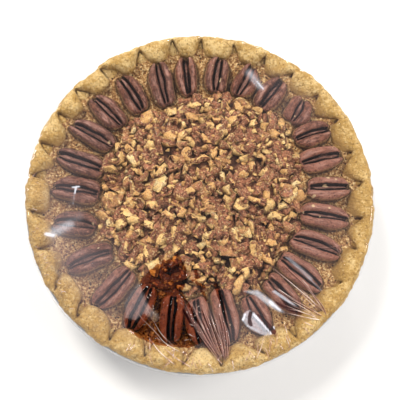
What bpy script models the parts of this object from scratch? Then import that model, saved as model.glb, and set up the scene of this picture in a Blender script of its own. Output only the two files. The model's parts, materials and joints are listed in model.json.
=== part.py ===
"""Pecan pie in its foil tin, wrapped in clear film, as separate solids.

Frame: metres, +Z up, the pie's axis on Z, the film's flat underside on z = 0.
Bearings are degrees clockwise from +Y, seen from above.
"""

import math
import random
from dataclasses import dataclass

import bmesh
import bpy
from mathutils import Matrix, Vector

MM = 0.001
SEED = 29

# Clearance kept between neighbouring pieces.
GAP = 0.3 * MM

# Tin.
TIN_SIDES = 58
TIN_RIM_RADIUS = 127.0 * MM
TIN_BASE_RADIUS = 95.0 * MM
TIN_WALL_FOOT_RADIUS = 96.8 * MM
TIN_WALL_TOP_RADIUS = 117.6 * MM
TIN_FLANGE_TOP = 33.8 * MM
TIN_FOIL = 0.4 * MM
TIN_BEAD = 1.4 * MM

# Film.
FILM_SIDES = 32
FILM_THICKNESS = 0.3 * MM
FILM_OPENING_RADIUS = 50.0 * MM
FILM_TOP = 45.0 * MM

# Crust.
CRIMPS = 29
CRIMP_COLUMNS = 5
NOTCH_HALF_WIDTH = 0.27
NOTCH_APEX_RADIUS = 121.5 * MM
CRUST_INNER_RADIUS = 110.3 * MM
CRUST_CREST = 45.0 * MM
CRUST_FLOOR_TOP = 5.3 * MM

# Filling.
FILLING_RADIUS = 109.85 * MM
FILLING_EDGE = 33.3 * MM
FILLING_CROWN = 37.5 * MM

# Bed of chopped pecans.
BED_COLUMNS = 48
BED_DEPTH = 6.2 * MM
BED_UNEVENNESS = 0.7 * MM
BED_CLEARANCE = 2.2 * MM

# Pecan halves.
HALF_HEIGHT = 9.3 * MM
HALF_RING_STATIONS = (0.03, 0.13, 0.33, 0.58, 0.81, 0.95)


@dataclass(frozen=True)
class HalfPlace:
    """Where one pecan half lies: its two ends and its width."""

    inner_bearing: float
    inner_radius_mm: float
    outer_bearing: float
    outer_radius_mm: float
    width_mm: float


HALF_PLACES = (
    HalfPlace(7.5, 78.0, 8.0, 109.6, 19.0),
    HalfPlace(20.5, 79.0, 22.0, 109.6, 18.5),
    HalfPlace(34.7, 78.0, 35.5, 109.6, 20.0),
    HalfPlace(48.5, 86.5, 49.5, 109.3, 19.5),
    HalfPlace(60.5, 80.0, 63.5, 109.6, 19.0),
    HalfPlace(74.3, 76.0, 75.0, 109.6, 18.0),
    HalfPlace(88.3, 77.0, 88.5, 109.6, 18.0),
    HalfPlace(103.3, 73.0, 101.5, 109.6, 18.5),
    HalfPlace(118.6, 72.5, 115.5, 109.6, 19.0),
    HalfPlace(131.5, 73.0, 130.0, 109.6, 17.5),
    HalfPlace(144.3, 77.0, 142.0, 109.3, 17.5),
    HalfPlace(157.5, 81.0, 155.5, 109.3, 18.0),
    HalfPlace(170.3, 70.5, 169.0, 109.3, 17.0),
    HalfPlace(182.7, 76.0, 179.7, 109.3, 16.5),
    HalfPlace(194.5, 76.0, 191.0, 109.0, 17.0),
    HalfPlace(206.6, 76.0, 206.0, 109.6, 17.5),
    HalfPlace(220.0, 75.0, 221.0, 109.6, 18.5),
    HalfPlace(234.0, 76.0, 238.5, 109.3, 18.5),
    HalfPlace(249.5, 79.0, 257.0, 107.5, 18.5),
    HalfPlace(266.5, 73.0, 270.3, 108.0, 19.5),
    HalfPlace(281.3, 72.5, 284.0, 109.6, 18.0),
    HalfPlace(296.0, 72.5, 297.3, 109.6, 18.5),
    HalfPlace(309.8, 76.0, 311.3, 109.8, 18.5),
    HalfPlace(324.2, 74.5, 325.2, 109.6, 18.5),
    HalfPlace(338.3, 70.0, 341.5, 109.0, 18.5),
    HalfPlace(353.0, 74.0, 353.7, 109.6, 17.5),
)


# ---------------------------------------------------------------------------
# Plain helpers
# ---------------------------------------------------------------------------


def clear_scene():
    """Remove every object, so that only this part is built."""
    for item in list(bpy.data.objects):
        bpy.data.objects.remove(item, do_unlink=True)


def polar(radius, bearing, height=0.0):
    """Return the point at a radius and a bearing in degrees."""
    angle = math.radians(bearing)
    return Vector((radius * math.sin(angle), radius * math.cos(angle), height))


def round_ring(profile_point, sides):
    """Return one regular ring of points for a (radius, height) pair."""
    radius, height = profile_point
    return [polar(radius, 360.0 * index / sides, height) for index in range(sides)]


def filling_height(radius):
    """Return the height of the domed filling at a radius."""
    share = min(radius / FILLING_RADIUS, 1.0)
    return FILLING_CROWN - (FILLING_CROWN - FILLING_EDGE) * share * share


def add_ring(mesh, points):
    """Add one ring of points to a bmesh and return its vertices."""
    return [mesh.verts.new(point) for point in points]


def join_rings(mesh, first, second):
    """Span two closed rings, whose counts may differ, with triangles.

    Both rings start near the same bearing and run the same way round.
    """
    count_a, count_b = len(first), len(second)
    step_a = step_b = 0
    while step_a < count_a or step_b < count_b:
        ahead = (step_a + 1) * count_b <= (step_b + 1) * count_a
        if step_b >= count_b or (ahead and step_a < count_a):
            mesh.faces.new((
                first[step_a % count_a],
                first[(step_a + 1) % count_a],
                second[step_b % count_b],
            ))
            step_a += 1
        else:
            mesh.faces.new((
                first[step_a % count_a],
                second[(step_b + 1) % count_b],
                second[step_b % count_b],
            ))
            step_b += 1


def close_ring(mesh, ring, centre):
    """Close a ring with a fan to one middle point."""
    hub = mesh.verts.new(centre)
    for index, vertex in enumerate(ring):
        mesh.faces.new((vertex, ring[(index + 1) % len(ring)], hub))


def make_material(name, colour, roughness, metallic=0.0, alpha=1.0):
    """Return a Principled material."""
    material = bpy.data.materials.new(name)
    material.use_nodes = True
    shader = material.node_tree.nodes["Principled BSDF"]
    shader.inputs["Base Color"].default_value = (*colour, 1.0)
    shader.inputs["Roughness"].default_value = roughness
    shader.inputs["Metallic"].default_value = metallic
    shader.inputs["Alpha"].default_value = alpha
    material.diffuse_color = (*colour, alpha)
    return material


def finish_object(name, mesh, material, smooth_angle=40.0):
    """Turn a bmesh into a named, shaded object in the scene."""
    bmesh.ops.recalc_face_normals(mesh, faces=mesh.faces)
    bmesh.ops.triangulate(mesh, faces=mesh.faces)
    data = bpy.data.meshes.new(name)
    mesh.to_mesh(data)
    mesh.free()
    data.shade_smooth()
    data.set_sharp_from_angle(angle=math.radians(smooth_angle))
    data.materials.append(material)
    item = bpy.data.objects.new(name, data)
    bpy.context.scene.collection.objects.link(item)
    return item


def build_turned(name, rings, base_centre, top_centre, material):
    """Build a body from rings listed from one end fan to the other."""
    mesh = bmesh.new()
    loops = [add_ring(mesh, ring) for ring in rings]
    for first, second in zip(loops, loops[1:]):
        join_rings(mesh, first, second)
    close_ring(mesh, loops[0], base_centre)
    close_ring(mesh, loops[-1], top_centre)
    return finish_object(name, mesh, material)


# ---------------------------------------------------------------------------
# Tin
# ---------------------------------------------------------------------------


def build_tin():
    """Build the foil tin: flat base, sloping wall, flange and rolled bead."""
    base_bottom = 2.0 * GAP
    base_top = base_bottom + TIN_FOIL
    bead_middle = TIN_RIM_RADIUS - TIN_BEAD
    profile = (
        (TIN_BASE_RADIUS, base_top),
        (TIN_WALL_FOOT_RADIUS, base_top + 1.0 * MM),
        (TIN_WALL_TOP_RADIUS, TIN_FLANGE_TOP - 0.6 * MM),
        (TIN_WALL_TOP_RADIUS + 0.8 * MM, TIN_FLANGE_TOP),
        (bead_middle - TIN_BEAD, TIN_FLANGE_TOP),
        (bead_middle, TIN_FLANGE_TOP + 0.9 * MM),
        (TIN_RIM_RADIUS, TIN_FLANGE_TOP - 0.4 * MM),
        (bead_middle, TIN_FLANGE_TOP - 1.8 * MM),
        (bead_middle - TIN_BEAD, TIN_FLANGE_TOP - TIN_FOIL),
        (TIN_WALL_TOP_RADIUS + 1.1 * MM, TIN_FLANGE_TOP - TIN_FOIL),
        (TIN_WALL_TOP_RADIUS + 0.5 * MM, TIN_FLANGE_TOP - 1.0 * MM),
        (TIN_WALL_FOOT_RADIUS + 0.4 * MM, base_top + 0.8 * MM),
        (TIN_BASE_RADIUS, base_bottom),
    )
    rings = [round_ring(point, TIN_SIDES) for point in profile]
    material = make_material("tin_foil", (0.80, 0.81, 0.82), 0.32, metallic=1.0)
    build_turned("tin", rings, (0, 0, base_top), (0, 0, base_bottom), material)


# ---------------------------------------------------------------------------
# Crust
# ---------------------------------------------------------------------------


@dataclass(frozen=True)
class RimStep:
    """One step round the rim's section, at a crimp's middle and at its notch."""

    crest_radius_mm: float
    crest_height_mm: float
    notch_radius_mm: float
    notch_height_mm: float


RIM_STEPS = (
    RimStep(110.3, 33.6, 110.3, 33.6),
    RimStep(110.5, 38.4, 112.4, 34.9),
    RimStep(112.7, 42.9, 115.4, 36.4),
    RimStep(117.4, 45.0, 118.9, 38.2),
    RimStep(122.2, 43.2, 121.9, 40.4),
    RimStep(125.1, 38.6, 124.5, 37.9),
    RimStep(123.6, 34.1, 123.6, 34.1),
)


def notch_spread(radius):
    """Return half the notch's width at a radius, as a share of one crimp."""
    reach = (NOTCH_APEX_RADIUS - radius) / (NOTCH_APEX_RADIUS - CRUST_INNER_RADIUS)
    return max(NOTCH_HALF_WIDTH * reach, 0.07)


def rim_ring(step, wobble):
    """Return one ring of the crimped rim.

    Columns of each crimp: the notch's middle, its near edge, two across the
    lobe, and the next notch's edge.
    """
    points = []
    for crimp in range(CRIMPS):
        spread = notch_spread(step.crest_radius_mm * MM)
        columns = (0.0, spread, 0.39, 0.61, 1.0 - spread)
        lifts = (0.0, 0.84, 1.0, 1.0, 0.84)
        swell, shift = wobble[crimp]
        for share, lift in zip(columns, lifts):
            radius = step.notch_radius_mm + lift * (
                step.crest_radius_mm - step.notch_radius_mm
            )
            height = step.notch_height_mm + lift * (
                step.crest_height_mm - step.notch_height_mm
            )
            raised = max(height - 34.5, 0.0) / 10.5
            height -= swell * lift * raised
            bearing = 360.0 * (crimp + share) / CRIMPS + shift * raised
            points.append(polar(radius * MM, bearing, height * MM))
    return points


def build_crust():
    """Build the pastry: a cup lining the tin, with a crimped rim of lobes."""
    maker = random.Random(SEED)
    wobble = [(maker.uniform(0.0, 1.0), maker.uniform(-0.4, 0.4)) for _ in range(CRIMPS)]
    wall_shift = 0.37 * MM
    lining = (
        (TIN_WALL_TOP_RADIUS + 0.9 * MM, TIN_FLANGE_TOP + GAP),
        (TIN_WALL_TOP_RADIUS - wall_shift, TIN_FLANGE_TOP - 0.6 * MM),
        (TIN_WALL_FOOT_RADIUS - wall_shift, 2.2 * MM),
        (TIN_BASE_RADIUS - wall_shift, 1.3 * MM),
    )
    floor_ring = round_ring((CRUST_INNER_RADIUS - 17.3 * MM, CRUST_FLOOR_TOP), TIN_SIDES)
    rings = [floor_ring]
    rings += [rim_ring(step, wobble) for step in RIM_STEPS]
    rings += [round_ring(point, TIN_SIDES) for point in lining]
    material = make_material("baked_crust", (0.60, 0.38, 0.16), 0.75)
    floor_middle = (0, 0, CRUST_FLOOR_TOP)
    build_turned("crust", rings, floor_middle, (0, 0, 1.3 * MM), material)


# ---------------------------------------------------------------------------
# Filling and the bed of chopped pecans
# ---------------------------------------------------------------------------


def build_filling():
    """Build the set syrup filling, a plug with a gently domed top."""
    bottom = CRUST_FLOOR_TOP + GAP
    radii = (FILLING_RADIUS, 92.0 * MM, 70.0 * MM, 40.0 * MM)
    profile = [(92.5 * MM, bottom)]
    profile += [(radius, filling_height(radius)) for radius in radii]
    rings = [round_ring(point, TIN_SIDES) for point in profile]
    material = make_material("syrup_filling", (0.42, 0.22, 0.08), 0.35)
    build_turned("filling", rings, (0, 0, bottom), (0, 0, FILLING_CROWN), material)


def bed_reach(bearing):
    """Return how far the chopped bed runs out at a bearing.

    The bed stops short of the halves' inner ends and follows them round.
    """
    nearest = []
    for place in HALF_PLACES:
        turn = abs((bearing - place.inner_bearing + 180.0) % 360.0 - 180.0)
        nearest.append((turn, place.inner_radius_mm * MM))
    nearest.sort()
    (turn_a, radius_a), (turn_b, radius_b) = nearest[:2]
    share = turn_a / (turn_a + turn_b)
    blend = share * share * (3.0 - 2.0 * share)
    return radius_a + (radius_b - radius_a) * blend - BED_CLEARANCE


def build_bed():
    """Build the heap of chopped pecans, out to its uneven outline."""
    maker = random.Random(SEED + 1)
    bearings = [360.0 * index / BED_COLUMNS for index in range(BED_COLUMNS)]
    reaches = [bed_reach(bearing) for bearing in bearings]

    def bed_ring(share, depth, unevenness):
        """Return a ring at a share of the bed's reach and a depth above the filling."""
        points = []
        for bearing, reach in zip(bearings, reaches):
            radius = reach * share
            lift = GAP + depth + maker.uniform(-1.0, 1.0) * unevenness
            points.append(polar(radius, bearing, filling_height(radius) + lift))
        return points

    rings = [
        bed_ring(0.55, 0.0, 0.0),
        bed_ring(0.97, 0.0, 0.0),
        bed_ring(1.0, BED_DEPTH * 0.45, 0.2 * MM),
        bed_ring(0.95, BED_DEPTH * 0.88, 0.4 * MM),
        bed_ring(0.78, BED_DEPTH, BED_UNEVENNESS),
        bed_ring(0.54, BED_DEPTH, BED_UNEVENNESS),
        bed_ring(0.27, BED_DEPTH, BED_UNEVENNESS),
    ]
    material = make_material("chopped_pecan", (0.40, 0.22, 0.10), 0.6)
    under = (0, 0, FILLING_CROWN + GAP)
    above = (0, 0, FILLING_CROWN + GAP + BED_DEPTH)
    build_turned("chopped_pecans", rings, under, above, material)


# ---------------------------------------------------------------------------
# Pecan halves
# ---------------------------------------------------------------------------


def half_section(width, height, lean):
    """Return the (across, up) points round a half's section.

    The domed back carries two lobes, two furrows and a middle ridge.
    """
    left = width * (1.0 + lean)
    right = width * (1.0 - lean)
    return (
        (-0.34 * left, 0.0),
        (-0.50 * left, 0.36 * height),
        (-0.33 * left, 0.93 * height),
        (-0.13 * left, 0.70 * height),
        (0.0, 0.88 * height),
        (0.13 * right, 0.70 * height),
        (0.33 * right, 0.93 * height),
        (0.50 * right, 0.36 * height),
        (0.34 * right, 0.0),
    )


def half_outline(share):
    """Return the share of full width at a share of the length from the inner end."""
    skewed = share ** 0.80
    return (1.0 - abs(2.0 * skewed - 1.0) ** 3.0) ** 0.55


def half_rise(share):
    """Return the share of full height at a share of the length."""
    return 0.35 + 0.65 * (1.0 - abs(2.0 * share - 1.0) ** 2.6) ** 0.8


def build_half(number, place, material):
    """Build one pecan half in its own frame and lay it on the filling."""
    maker = random.Random(SEED + 10 + number)
    inner = polar(place.inner_radius_mm * MM, place.inner_bearing)
    outer = polar(place.outer_radius_mm * MM, place.outer_bearing)
    length = (outer - inner).length
    height = HALF_HEIGHT * maker.uniform(0.92, 1.04)
    lean = maker.uniform(-0.06, 0.06)

    mesh = bmesh.new()
    rings = []
    for share in HALF_RING_STATIONS:
        along = (share - 0.5) * length
        section = half_section(
            place.width_mm * MM * half_outline(share), height * half_rise(share), lean
        )
        rings.append(add_ring(mesh, [(along, across, up) for across, up in section]))
    for first, second in zip(rings, rings[1:]):
        join_rings(mesh, first, second)
    close_ring(mesh, rings[0], (-0.5 * length, 0.0, 0.22 * height))
    close_ring(mesh, rings[-1], (0.5 * length, 0.0, 0.22 * height))

    item = finish_object(f"pecan_half_{number:02d}", mesh, material, smooth_angle=60.0)
    middle = (inner + outer) * 0.5
    heading = math.atan2(outer.y - inner.y, outer.x - inner.x)
    fall = filling_height(outer.length) - filling_height(inner.length)
    middle.z = filling_height(middle.length) + GAP
    turn = Matrix.Rotation(heading, 4, "Z")
    tilt = Matrix.Rotation(-math.atan2(fall, length), 4, "Y")
    item.matrix_world = Matrix.Translation(middle) @ turn @ tilt
    return item


def build_halves():
    """Build the ring of pecan halves."""
    material = make_material("pecan_half", (0.17, 0.075, 0.045), 0.5)
    for number, place in enumerate(HALF_PLACES, start=1):
        build_half(number, place, material)


# ---------------------------------------------------------------------------
# Film
# ---------------------------------------------------------------------------


def build_film():
    """Build the clear film: stretched over the pie, down to the base, tucked under."""
    corner = 1.0 / math.cos(math.pi / FILM_SIDES)
    bottom = FILM_THICKNESS
    inner = [
        (70.0 * MM, FILM_TOP),
        (95.0 * MM, FILM_TOP + 0.1 * MM),
        (112.0 * MM, FILM_TOP + 0.4 * MM),
        (119.0 * MM, FILM_TOP + 0.4 * MM),
        (124.4 * MM * corner, FILM_TOP - 2.4 * MM),
        ((TIN_RIM_RADIUS + GAP) * corner, TIN_FLANGE_TOP + 2.0 * MM),
        ((TIN_RIM_RADIUS + GAP) * corner, TIN_FLANGE_TOP - 1.4 * MM),
        ((TIN_WALL_FOOT_RADIUS + 2.4 * MM) * corner, bottom + 1.8 * MM),
        ((TIN_WALL_FOOT_RADIUS + 0.6 * MM) * corner, bottom),
    ]
    outer = [
        (70.0 * MM, FILM_TOP + FILM_THICKNESS),
        (95.0 * MM, FILM_TOP + 0.1 * MM + FILM_THICKNESS),
        (112.1 * MM, FILM_TOP + 0.4 * MM + FILM_THICKNESS),
        (119.2 * MM, FILM_TOP + 0.4 * MM + FILM_THICKNESS),
        (124.7 * MM * corner, FILM_TOP - 2.2 * MM),
        ((TIN_RIM_RADIUS + GAP + FILM_THICKNESS) * corner, TIN_FLANGE_TOP + 2.1 * MM),
        ((TIN_RIM_RADIUS + GAP + FILM_THICKNESS) * corner, TIN_FLANGE_TOP - 1.5 * MM),
        ((TIN_WALL_FOOT_RADIUS + 2.8 * MM) * corner, bottom + 1.7 * MM),
        ((TIN_WALL_FOOT_RADIUS + 0.6 * MM) * corner, 0.0),
    ]
    mouth = [(FILM_OPENING_RADIUS, bottom), (FILM_OPENING_RADIUS, 0.0)]
    profile = inner + mouth + outer[::-1]
    rings = [round_ring(point, FILM_SIDES) for point in profile]
    material = make_material("clear_film", (0.90, 0.91, 0.93), 0.12, alpha=0.3)
    inside = (0, 0, FILM_TOP)
    outside = (0, 0, FILM_TOP + FILM_THICKNESS)
    build_turned("film", rings, inside, outside, material)


def main():
    """Build every piece of the pie."""
    clear_scene()
    build_tin()
    build_crust()
    build_filling()
    build_bed()
    build_halves()
    build_film()


main()
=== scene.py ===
"""Looks of a pecan pie in its foil tin, wrapped in clear film.

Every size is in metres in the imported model's frame: +Z up, the pie's axis on Z.
Bearings are degrees clockwise from +Y, seen from above.
"""

import json
import logging
import math
from dataclasses import dataclass, field

import bmesh
import bpy
import numpy as np
from mathutils import Matrix, Vector

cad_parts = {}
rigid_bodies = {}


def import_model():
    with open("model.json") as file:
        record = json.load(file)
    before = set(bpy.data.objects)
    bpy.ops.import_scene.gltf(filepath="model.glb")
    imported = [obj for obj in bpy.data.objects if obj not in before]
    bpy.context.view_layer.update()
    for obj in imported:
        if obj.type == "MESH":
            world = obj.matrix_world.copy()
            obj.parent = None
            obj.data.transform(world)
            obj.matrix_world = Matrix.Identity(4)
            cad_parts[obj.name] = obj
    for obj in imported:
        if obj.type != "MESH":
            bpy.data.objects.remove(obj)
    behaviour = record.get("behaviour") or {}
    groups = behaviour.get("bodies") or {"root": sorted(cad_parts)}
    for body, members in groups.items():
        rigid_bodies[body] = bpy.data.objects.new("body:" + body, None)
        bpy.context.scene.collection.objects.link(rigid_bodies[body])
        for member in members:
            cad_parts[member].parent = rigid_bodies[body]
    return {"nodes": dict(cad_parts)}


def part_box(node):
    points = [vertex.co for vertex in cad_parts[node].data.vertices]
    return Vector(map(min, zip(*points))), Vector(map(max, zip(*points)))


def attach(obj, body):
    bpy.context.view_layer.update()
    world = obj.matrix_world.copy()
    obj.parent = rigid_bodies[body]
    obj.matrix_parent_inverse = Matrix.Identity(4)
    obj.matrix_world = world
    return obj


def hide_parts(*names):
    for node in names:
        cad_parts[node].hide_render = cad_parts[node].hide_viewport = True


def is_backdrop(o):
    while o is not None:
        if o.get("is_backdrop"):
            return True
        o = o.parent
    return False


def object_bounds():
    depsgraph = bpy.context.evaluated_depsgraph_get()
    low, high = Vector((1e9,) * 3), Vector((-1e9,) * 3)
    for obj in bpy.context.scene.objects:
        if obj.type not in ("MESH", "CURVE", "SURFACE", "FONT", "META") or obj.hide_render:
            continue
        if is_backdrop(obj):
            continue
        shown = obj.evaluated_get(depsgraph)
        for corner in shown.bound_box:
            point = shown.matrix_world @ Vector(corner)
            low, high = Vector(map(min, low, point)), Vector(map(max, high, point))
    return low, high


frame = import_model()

Array = np.ndarray
Colour = tuple[float, float, float]
Material = bpy.types.Material
Node = bpy.types.Node
Piece = bpy.types.Object
Socket = bpy.types.NodeSocket
Tree = bpy.types.NodeTree

LOG = logging.getLogger("pecan_pie")
MM = 0.001
BODY = "root"
HALF_NODES = tuple(sorted(name for name in frame["nodes"] if name.startswith("pecan_half_")))


# --- Numbers and noise ---


def polar(radius: float, bearing: float, height: float = 0.0) -> Array:
    """Return the point at a radius and a bearing in degrees."""
    angle = math.radians(bearing)
    return np.array([radius * math.sin(angle), radius * math.cos(angle), height])


def around_axis(radius: Array | float, angle: Array, height: Array | float) -> Array:
    """Return points at radii, heights and angles in radians clockwise from +Y."""
    return np.stack(np.broadcast_arrays(radius * np.sin(angle), radius * np.cos(angle), height), axis=-1)


def unit(value: Array) -> Array:
    """Return values clipped to 0 to 1."""
    return np.clip(value, 0.0, 1.0)


def smooth_step(value: Array) -> Array:
    """Return the smooth 0 to 1 ramp of values clipped to 0 to 1."""
    clipped = unit(value)
    return clipped * clipped * (3.0 - 2.0 * clipped)


def rise(length: Array, start_mm: float, span_mm: float) -> Array:
    """Return the smooth ramp that starts to rise at a length and spans another."""
    return smooth_step((length - start_mm * MM) / (span_mm * MM))


def fall(length: Array, end_mm: float, span_mm: float) -> Array:
    """Return the smooth ramp that falls over a span and ends at a length."""
    return smooth_step((end_mm * MM - length) / (span_mm * MM))


def smooth_curve(controls: Array, count: int) -> Array:
    """Return points on a Catmull-Rom curve through the controls.

    Args:
        controls: Control points, one row each.
        count: Number of points returned, evenly spaced in the parameter.

    Returns:
        An array of count rows.
    """
    padded = np.vstack([2 * controls[0] - controls[1], controls, 2 * controls[-1] - controls[-2]])
    place = np.linspace(0.0, len(controls) - 1.0, count)
    step = np.minimum(place.astype(int), len(controls) - 2)
    part = (place - step)[:, None]
    p0, p1, p2, p3 = (padded[step + shift] for shift in range(4))
    return 0.5 * (
        2.0 * p1
        + (p2 - p0) * part
        + (2.0 * p0 - 5.0 * p1 + 4.0 * p2 - p3) * part**2
        + (3.0 * p1 - p0 - 3.0 * p2 + p3) * part**3
    )


@dataclass(frozen=True)
class Lumps:
    """Repeatable smooth noise over space, about -1 to 1."""

    seed: int

    def _lattice(self, cell: Array) -> Array:
        """Return the fixed random value of each whole-number cell."""
        table = np.random.default_rng(self.seed).uniform(-1.0, 1.0, 65536)
        mixed = cell[..., 0] * 73856093 ^ cell[..., 1] * 19349663 ^ cell[..., 2] * 83492791
        return table[(mixed ^ (mixed >> 13)) & 65535]

    def at(self, points: Array, size: float) -> Array:
        """Return one octave of noise.

        Args:
            points: Points, in the last axis.
            size: Size of one lump, in the points' own unit.

        Returns:
            One value per point.
        """
        scaled = points / size
        cell = np.floor(scaled).astype(np.int64)
        part = scaled - cell
        part = part * part * (3.0 - 2.0 * part)
        total = np.zeros(points.shape[:-1])
        for corner in range(8):
            bits = np.array([corner & 1, corner >> 1 & 1, corner >> 2 & 1])
            weight = np.prod(np.where(bits == 1, part, 1.0 - part), axis=-1)
            total += weight * self._lattice(cell + bits)
        return total

    def layered(self, points: Array, size: float, octaves: int = 3) -> Array:
        """Return several octaves of noise, each half as large and half as strong."""
        total = np.zeros(points.shape[:-1])
        for octave in range(octaves):
            total += self.at(points + 7.3 * size * octave, size / 2**octave) / 2**octave
        return total


# --- Mesh making ---


def link(piece: Piece) -> Piece:
    """Link an object to the scene and return it."""
    bpy.context.scene.collection.objects.link(piece)
    return piece


def ring_faces(rows: int, columns: int, start: int = 0) -> list[tuple[int, ...]]:
    """Return the quads of a tube of closed rings, numbered ring by ring."""
    faces = []
    for row in range(rows - 1):
        low = start + row * columns
        for column in range(columns):
            after = (column + 1) % columns
            faces.append((low + column, low + after, low + columns + after, low + columns + column))
    return faces


def turned_piece(
    name: str,
    rings: Array,
    first_pole: Array | None = None,
    last_pole: Array | None = None,
    sharp_angle: float = 180.0,
) -> Piece:
    """Build a piece from closed rings of points, with poles where they are given.

    Args:
        name: Name of the piece.
        rings: Array of rows, columns and 3, every ring running the same way.
        first_pole: Point that closes the first ring, or None to leave it open.
        last_pole: Point that closes the last ring, or None to leave it open.
        sharp_angle: Edges bent more than this many degrees stay sharp.

    Returns:
        The object, smooth shaded, with its normals made consistent.
    """
    rows, columns = rings.shape[:2]
    points = rings.reshape(-1, 3).tolist()
    faces = ring_faces(rows, columns)
    for pole, low in ((first_pole, 0), (last_pole, (rows - 1) * columns)):
        if pole is None:
            continue
        points.append(list(pole))
        hub = len(points) - 1
        for column in range(columns):
            pair = (low + column, low + (column + 1) % columns)
            faces.append((pair[1], pair[0], hub) if low == 0 else (pair[0], pair[1], hub))
    data = bpy.data.meshes.new(name)
    data.from_pydata(points, [], faces)
    return finish_mesh(data, name, sharp_angle)


def finish_mesh(data: bpy.types.Mesh, name: str, sharp_angle: float) -> Piece:
    """Make a mesh's faces agree, shade it smooth and put it in the scene."""
    shape = bmesh.new()
    shape.from_mesh(data)
    bmesh.ops.recalc_face_normals(shape, faces=shape.faces)
    shape.to_mesh(data)
    shape.free()
    data.shade_smooth()
    if sharp_angle < 180.0:
        data.set_sharp_from_angle(angle=math.radians(sharp_angle))
    return link(bpy.data.objects.new(name, data))


def mesh_points(piece: Piece) -> Array:
    """Return a mesh's points as an array."""
    flat = np.zeros(len(piece.data.vertices) * 3)
    piece.data.vertices.foreach_get("co", flat)
    return flat.reshape(-1, 3)


def paint(piece: Piece, name: str, values: Array) -> None:
    """Store one number per point on a piece, for its material to read."""
    layer = piece.data.attributes.new(name, "FLOAT", "POINT")
    layer.data.foreach_set("value", np.asarray(values, dtype=np.float32))


def dress(piece: Piece, material: Material) -> Piece:
    """Give a piece its material, and let it ride on the pie."""
    piece.data.materials.clear()
    piece.data.materials.append(material)
    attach(piece, BODY)
    return piece


# --- Wiring of materials ---

FLOAT_SOCKET = "NodeSocketFloat"
COLOUR_SOCKET = "NodeSocketColor"


@dataclass
class Wiring:
    """Places and joins nodes in one tree."""

    tree: Tree

    def add(self, kind: str, inputs: dict | None = None, **settings: object) -> Node:
        """Add a node, set its own properties and feed its inputs."""
        node = self.tree.nodes.new(kind)
        for key, value in settings.items():
            setattr(node, key, value)
        return self.join(node, inputs or {})

    def join(self, node: Node, inputs: dict) -> Node:
        """Feed a node's inputs, given by name or number, and return the node."""
        for key, value in inputs.items():
            self.feed(node.inputs[key], value)
        return node

    def feed(self, target: Socket, source: Socket | float | tuple) -> None:
        """Link a socket to a target, or set the target's own value."""
        if isinstance(source, Socket):
            self.tree.links.new(source, target)
        elif isinstance(source, tuple) and len(source) == 3 and target.type == "RGBA":
            target.default_value = (*source, 1.0)
        else:
            target.default_value = source

    def sum(self, operation: str, first: Socket | float, second: Socket | float = 0.0) -> Socket:
        """Return the output of a Math node."""
        return self.add("ShaderNodeMath", {0: first, 1: second}, operation=operation).outputs[0]

    def plus(self, first: Socket, second: Socket | float) -> Socket:
        """Return the sum of two numbers."""
        return self.sum("ADD", first, second)

    def times(self, first: Socket, second: Socket | float) -> Socket:
        """Return the product of two numbers."""
        return self.sum("MULTIPLY", first, second)

    def scaled(self, value: Socket, factor: float, shift: Socket | float = 0.0) -> Socket:
        """Return value times factor plus shift."""
        inputs = {0: value, 1: factor, 2: shift}
        return self.add("ShaderNodeMath", inputs, operation="MULTIPLY_ADD").outputs[0]

    def ramp(self, value: Socket, low: float, high: float, start: float = 0.0, end: float = 1.0) -> Socket:
        """Return a value smoothly remapped from low..high to start..end."""
        inputs = dict(enumerate((value, low, high, start, end)))
        return self.add("ShaderNodeMapRange", inputs, interpolation_type="SMOOTHSTEP").outputs[0]

    def blend(
        self, share: Socket | float, first: Socket | Colour, second: Socket | Colour, mode: str = "MIX"
    ) -> Socket:
        """Return two colours mixed."""
        inputs = {0: share, 6: first, 7: second}
        return self.add("ShaderNodeMix", inputs, data_type="RGBA", blend_type=mode).outputs[2]

    def tint(
        self, colour: Socket | Colour, other: Socket | Colour, value: Socket,
        low: float, high: float, most: float = 1.0,
    ) -> Socket:
        """Return a colour that turns into another as a value goes from low to high."""
        return self.blend(self.ramp(value, low, high, 0.0, most), colour, other)

    def place(self) -> Socket:
        """Return the Object coordinates, in metres."""
        return self.add("ShaderNodeTexCoord").outputs["Object"]

    def painted(self, name: str) -> Socket:
        """Return a number painted on the mesh."""
        return self.add("ShaderNodeAttribute", attribute_name=name).outputs["Fac"]

    def ragged(self, name: str, noise: Socket, amount: float) -> Socket:
        """Return a painted number made uneven by a noise."""
        return self.plus(self.painted(name), self.scaled(noise, amount, -0.5 * amount))

    def noise(
        self, size: float, detail: float = 3.0, roughness: float = 0.55, where: Socket | None = None
    ) -> Socket:
        """Return noise whose lumps are about size across."""
        inputs = {"Vector": where or self.place(), "Scale": 1.0 / size, "Detail": detail}
        return self.add("ShaderNodeTexNoise", {**inputs, "Roughness": roughness}).outputs["Fac"]

    def cells(self, size: float) -> Socket:
        """Return the distance to the middle of cells about size across."""
        inputs = {"Vector": self.place(), "Scale": 1.0 / size}
        return self.add("ShaderNodeTexVoronoi", inputs).outputs["Distance"]

    def bump(self, height: Socket, depth: float, strength: float = 1.0) -> Socket:
        """Return a normal bent by a height that spans depth metres."""
        inputs = {"Strength": strength, "Distance": depth, "Height": height}
        return self.add("ShaderNodeBump", inputs).outputs[0]

    def group(self, kind: Tree, **inputs: object) -> Node:
        """Place a node group and feed its inputs by name."""
        return self.add("ShaderNodeGroup", inputs, node_tree=kind)

    def mixed(self, share: Socket, first: Socket, second: Socket) -> Socket:
        """Return two shaders mixed."""
        return self.add("ShaderNodeMixShader", {0: share, 1: first, 2: second}).outputs[0]


def new_material(name: str) -> tuple[Material, Wiring, Node]:
    """Return a new material, its wiring and its Principled node."""
    material = bpy.data.materials.new(name)
    material.use_nodes = True
    wiring = Wiring(material.node_tree)
    return material, wiring, material.node_tree.nodes["Principled BSDF"]


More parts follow.
